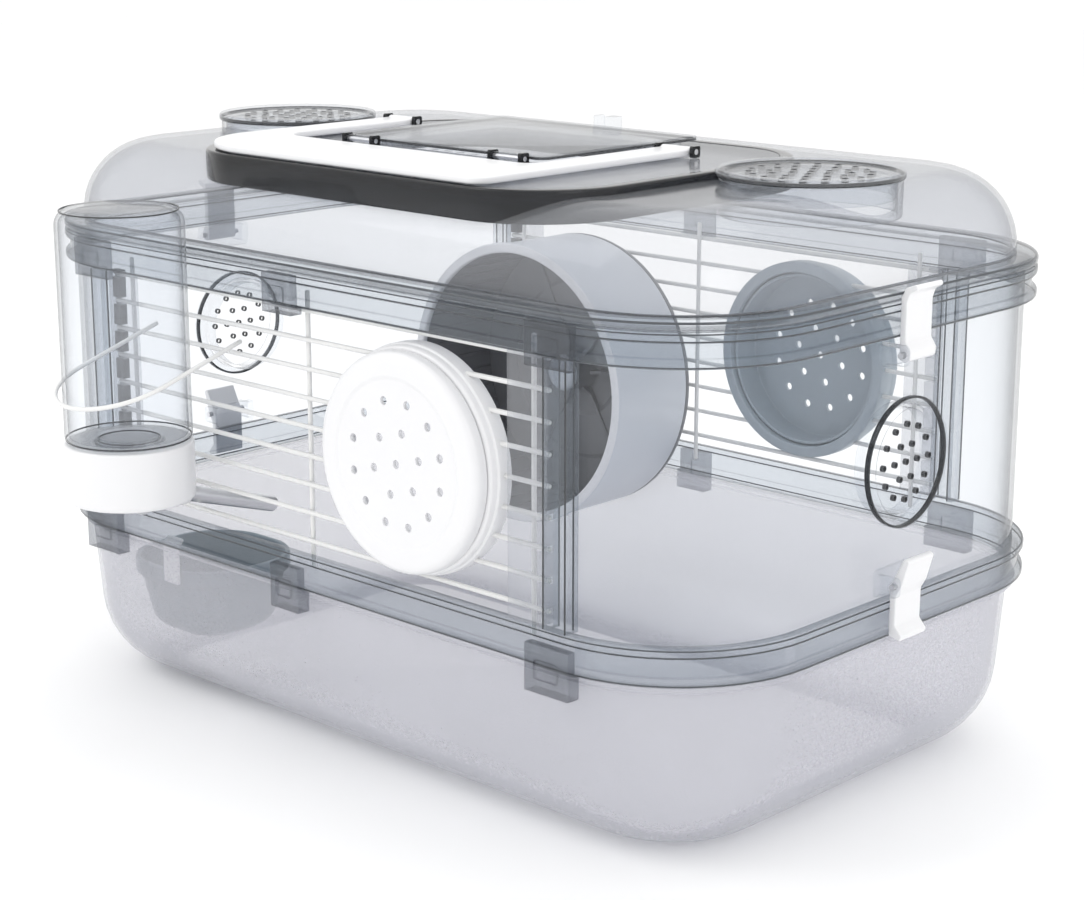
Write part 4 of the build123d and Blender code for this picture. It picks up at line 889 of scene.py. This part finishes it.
def bottle():
    """The clear flask upside down in its white screw cap, with the seal between."""
    stand = Matrix.Translation((BOTTLE_X, BOTTLE_Y, 0))
    top = bottle_high.z
    shoulder = cap_high.z + 0.6 * MM
    outer = [(0.5 * MM, top - 1.6 * MM, 0), (24.9 * MM, top - 1.6 * MM, 5.4 * MM),
             (24.9 * MM, shoulder + 1.6 * MM, 1.4 * MM), (12.4 * MM, shoulder + 1.6 * MM, 1 * MM),
             (12.4 * MM, cap_low.z + 8 * MM, 0.3 * MM), (14 * MM, cap_low.z + 8 * MM, 0.3 * MM),
             (14 * MM, shoulder, 0.8 * MM), (26.5 * MM, shoulder, 2.4 * MM),
             (26.5 * MM, top, 7 * MM), (0.5 * MM, top, 0)]
    body = turned("bottle_flask", filleted(outer, 8), stand, 96)
    place_piece(body, "bottle", "clear_plastic", "clear_plastic", "bottle_body")
    low, high = cap_low.z, cap_high.z
    cap_outline = filleted([(3.7 * MM, low, 0), (27 * MM, low, 2.2 * MM), (27 * MM, high, 1.1 * MM),
                            (15 * MM, high, 0.7 * MM), (15 * MM, high - 8 * MM, 0.6 * MM),
                            (17 * MM, high - 8 * MM, 0.6 * MM), (17 * MM, low + 3 * MM, 1 * MM),
                            (3.7 * MM, low + 3 * MM, 0)], 6)
    cap = turned("bottle_screw_cap", cap_outline, stand, 96)
    place_piece(cap, "bottle", "white_plastic", "white_plastic", "bottle_cap")
    # Thin dark rings at the flask's top, foot and neck: painted shade for the dark edges that refraction
    # shows in the clear plastic.
    for name, radius, height in (("bottle_top_line", 24.2 * MM, top - 1.1 * MM),
                                 ("bottle_foot_line", 25.9 * MM, shoulder + 1.1 * MM),
                                 ("bottle_neck_line", 13 * MM, shoulder + 0.2 * MM)):
        profile = squared(radius - 0.3 * MM, radius + 0.3 * MM, height - 0.3 * MM, height + 0.3 * MM,
                          0.1 * MM, 0.1 * MM, 2)
        line = turned(name, profile, stand, CAP_STEPS)
        place_piece(line, "bottle", "dark_comb_and_edge_shade", "clear_plastic")
    profile = squared(9 * MM, 16.6 * MM, low + 3.2 * MM, low + 5.2 * MM, 0.8 * MM, 0.8 * MM, 3)
    seal = turned("seal_ring", profile, stand, 64)
    place_piece(seal, "bottle", "seal_rubber", "seal_rubber", "cap_seal")


def spout():
    """The grey cone, the white nut, the steel tube and its ball, all on the sloping axis."""
    cone_start, cone_end, collar_end = -155 * MM, -138 * MM, -132 * MM
    stretch = hypot(1, SPOUT_SLOPE)
    cone_length = (cone_end - cone_start) * stretch
    profile = filleted([(3.6 * MM, 0, 0), (12 * MM, 0, 0.6 * MM), (10.6 * MM, 3 * MM, 1.5 * MM),
                        (5.4 * MM, cone_length, 0.6 * MM), (3.6 * MM, cone_length, 0)], 4)
    cone = turned("spout_funnel", profile, spout_place(cone_start), SPOUT_STEPS)
    bm = bmesh.new()
    corners = ((1, 1), (-1, 1), (-1, -1), (1, -1))
    rings = [[(BOTTLE_X + 40 * MM * u, BOTTLE_Y + 40 * MM * v, z) for u, v in corners]
             for z in (cap_low.z + 0.2 * MM, cap_low.z + 40 * MM)]
    skin(bm, rings, caps=True)
    cut(cone, [finish_mesh("cone_top", bm)])
    place_piece(cone, "bottle", "spout_grey", "wheel_dark", "spout_cone")
    collar_length = (collar_end - cone_end) * stretch
    profile = filleted([(3.6 * MM, 0, 0), (5 * MM, 0, 0.7 * MM), (5 * MM, collar_length, 1 * MM),
                        (3.6 * MM, collar_length, 0.2 * MM)], 4)
    collar = turned("spout_nut", profile, spout_place(cone_end), SPOUT_STEPS)
    place_piece(collar, "bottle", "white_plastic", "white_plastic", "spout_collar")
    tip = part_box("spout_tube")[1].y - 1.2 * MM
    tube_length = (tip - cone_end) * stretch
    profile = filleted([(2.9 * MM, 0, 0), (3.5 * MM, 0, 0), (3.5 * MM, tube_length, 1.6 * MM),
                        (2.2 * MM, tube_length + 0.2 * MM, 0.3 * MM),
                        (2.2 * MM, tube_length - 2 * MM, 0.3 * MM), (2.9 * MM, tube_length - 3 * MM, 0)], 6)
    pipe = turned("spout_pipe", profile, spout_place(cone_end), SPOUT_STEPS)
    place_piece(pipe, "bottle", "steel", "steel", "spout_tube")
    bm = bmesh.new()
    bmesh.ops.create_uvsphere(bm, u_segments=24, v_segments=16, radius=2.15 * MM,
                              matrix=Matrix.Translation(spout_place(tip - 0.4 * MM).translation))
    place_piece(finish_mesh("spout_bearing", bm), "bottle", "steel", "steel", "spout_ball")


def hanger():
    """White wire hoop round the bottle, its two ends lying over a wire of the cage."""
    reach = 28.4 * MM
    start = Vector((BOTTLE_X, -127 * MM, 174 * MM))
    slope = Vector((0, 1, 0.32)).normalized()
    path = [start + Vector((reach, 0, 0)) + slope * (4.2 * MM - 42.2 * MM * s / 8) for s in range(9)]
    bend = [pi * s / 28 for s in range(1, 28)]
    path += [start + slope * -38 * MM + Vector((cos(angle), 0, 0)) * reach - slope * reach * sin(angle)
             for angle in bend]
    path += [start - Vector((reach, 0, 0)) + slope * (-38 * MM + 42.2 * MM * s / 8) for s in range(9)]
    place_piece(wires("hanger_wire", [path], 0.95 * MM, 12), "bottle", "white_wire", "white_wire",
                "bottle_hanger")


# Food bowl

def food_bowl():
    """The tapered grey cup and the white hook that hangs it on the tray's rim."""
    low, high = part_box("food_bowl")
    centre = ((low.x + high.x) / 2, (low.y + high.y) / 2)
    half = (high.x - low.x) / 2

    def plan(inset):
        return rounded_plan(half, half, 27 * MM, inset, centre, 12)

    bottom, top = low.z, high.z
    outline = filleted([(26 * MM, bottom, 0), (8.5 * MM, bottom, 12 * MM), (2.6 * MM, top - 8 * MM, 0.8 * MM),
                        (0, top - 7.4 * MM, 0.8 * MM), (0, top, 1.1 * MM), (2.4 * MM, top, 1 * MM),
                        (4.6 * MM, top - 8 * MM, 2 * MM), (10.6 * MM, bottom + 2 * MM, 11 * MM),
                        (26 * MM, bottom + 2 * MM, 0)], 7)
    cup = swept("bowl_cup", outline, plan, closed=False, caps=True)
    place_piece(cup, "bowl", "bowl_grey", "bowl_grey", "food_bowl")
    hook_low, hook_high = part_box("bowl_hook")
    face = low.y
    strip = filleted([(face, top - 5 * MM, 0.3 * MM), (face, top + 12 * MM, 1 * MM),
                      (face + 3 * MM, top + 15 * MM, 0.6 * MM), (face + 1.7 * MM, top + 16.3 * MM, 0.6 * MM),
                      (face - 1.6 * MM, top + 13 * MM, 1.4 * MM),
                      (face - 1.6 * MM, top - 5 * MM, 0.3 * MM)], 4)
    place = along((hook_low.x, 0, 0), (1, 0, 0))
    hook = plate("bowl_hanger", strip, hook_high.x - hook_low.x, place, 0.4 * MM)
    place_piece(hook, "bowl", "white_plastic", "white_plastic", "bowl_hook")


# Latches

LATCH_WIDTH = 17 * MM


def latch(name, node, outline):
    """A white lever from its side outline in X and Z, for the right end or mirrored to the left."""
    sign = 1 if node.endswith("right") else -1
    centre_y = (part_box(node)[0].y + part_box(node)[1].y) / 2
    place = Matrix(((sign, 0, 0, 0), (0, 0, 1, centre_y - LATCH_WIDTH / 2), (0, 1, 0, 0), (0, 0, 0, 1)))
    lever = plate(name, outline, LATCH_WIDTH, place, 0.5 * MM)
    place_piece(lever, node, "white_plastic", "white_plastic", node)


def latches():
    """A high and a low lever at each end."""
    face = HALF_X + 0.8 * MM
    high_outline = filleted([(face, 187.2 * MM, 1.4 * MM), (face, 211.6 * MM, 2 * MM),
                             (face + 2 * MM, 215.5 * MM, 1.5 * MM), (face + 6.8 * MM, 217.3 * MM, 0.8 * MM),
                             (face + 7.3 * MM, 215.4 * MM, 0.8 * MM), (face + 4 * MM, 213.4 * MM, 2 * MM),
                             (face + 2.8 * MM, 210 * MM, 2 * MM), (face + 2.8 * MM, 195 * MM, 1.5 * MM),
                             (face + 5.2 * MM, 191.6 * MM, 1.8 * MM),
                             (face + 5 * MM, 187.6 * MM, 1.8 * MM)], 4)
    low_outline = filleted([(face, 78.6 * MM, 0.5 * MM), (face, 99 * MM, 2 * MM),
                            (face + 6 * MM, 110.9 * MM, 0.9 * MM), (face + 8.4 * MM, 109.9 * MM, 0.9 * MM),
                            (face + 5.2 * MM, 99 * MM, 2 * MM), (face + 3 * MM, 95 * MM, 2 * MM),
                            (face + 2.8 * MM, 83 * MM, 1.6 * MM), (face + 6 * MM, 79.4 * MM, 0.8 * MM),
                            (face + 5.4 * MM, 77.2 * MM, 0.8 * MM)], 4)
    for end in ("right", "left"):
        latch(f"top_lever_{end}", f"top_latch_{end}", high_outline)
        latch(f"low_lever_{end}", f"bottom_latch_{end}", low_outline)


# Everything together

tray_shell()
rail("lower_rail", "lower_ring", ring_low.z, ring_high.z)
rail("upper_rail", "upper_ring", upper_low.z, upper_high.z)
roof_rim_bead()
for side_name, side_sign in (("right", 1), ("left", -1)):
    end_wall(side_sign, f"end_wall_{side_name}")
    end_cap(side_sign, f"end_cap_{side_name}")
    port_cap(side_sign, f"roof_cap_{side_name}")
    corner_post("front", side_name, side_sign, -1)
    corner_post("back", side_name, side_sign, 1)
wire_side("front", -1)
wire_side("back", 1)
door("front", -1, "white_plastic")
# The back door's grey is painted shade for its inner face seen in shadow through the cage.
door("back", 1, "door_grey")
roof_dome()
hatch_deck()
carrying_handle()
feeder_lid()
wheel()
bottle()
spout()
hanger()
food_bowl()
latches()

SLOT_OF = {part["node"]: part["material_slot"] for part in frame["record"]["subparts"]}
for node_name, node_object in frame["nodes"].items():
    if not node_object.hide_render:
        node_object.data.materials.clear()
        look = "clip_smoked" if node_name.endswith("_clips") else SLOT_OF[node_name]
        node_object.data.materials.append(materials[look])


# Floor, light and camera

def studio():
    """A pale floor, a white surround, three soft lamps and the camera."""
    scene = bpy.context.scene
    bm = bmesh.new()
    bmesh.ops.create_grid(bm, x_segments=1, y_segments=1, size=4)
    floor = finish_mesh("floor", bm)
    s = Surface("floor_paper")
    paper = s.principled(srgb(0.985, 0.985, 0.985), s.span(s.noise(60), 0.75, 0.9))
    floor.data.materials.append(s.done(paper))
    world = bpy.data.worlds.new("studio")
    world.use_nodes = True
    world.node_tree.nodes["Background"].inputs["Color"].default_value = (1, 1, 1, 1)
    world.node_tree.nodes["Background"].inputs["Strength"].default_value = 1.04
    scene.world = world
    for name, place, size, power, target in (
            ("key", (-0.9, -1.1, 1.5), 0.9, 6, (0, 0, 0.12)),
            ("fill", (1.5, -0.4, 0.9), 0.7, 2.5, (0, 0, 0.12)),
            ("top", (0, 0.4, 1.6), 1.0, 4, (0, 0, 0.1))):
        light = bpy.data.lights.new(name, "AREA")
        light.energy = power
        light.size = size
        lamp = bpy.data.objects.new(name, light)
        lamp.location = place
        lamp.rotation_euler = (Vector(target) - Vector(place)).to_track_quat("-Z", "Y").to_euler()
        scene.collection.objects.link(lamp)
    lens = bpy.data.cameras.new("camera")
    lens.sensor_width = 36
    lens.lens = 76.8
    camera = bpy.data.objects.new("camera", lens)
    camera.location = (0.69365, -0.72305, 0.370)
    camera.rotation_euler = (radians(75.68), 0, radians(43.47))
    scene.collection.objects.link(camera)
    scene.camera = camera
    scene.view_settings.view_transform = "Standard"
    scene.cycles.transparent_max_bounces = 48


studio()
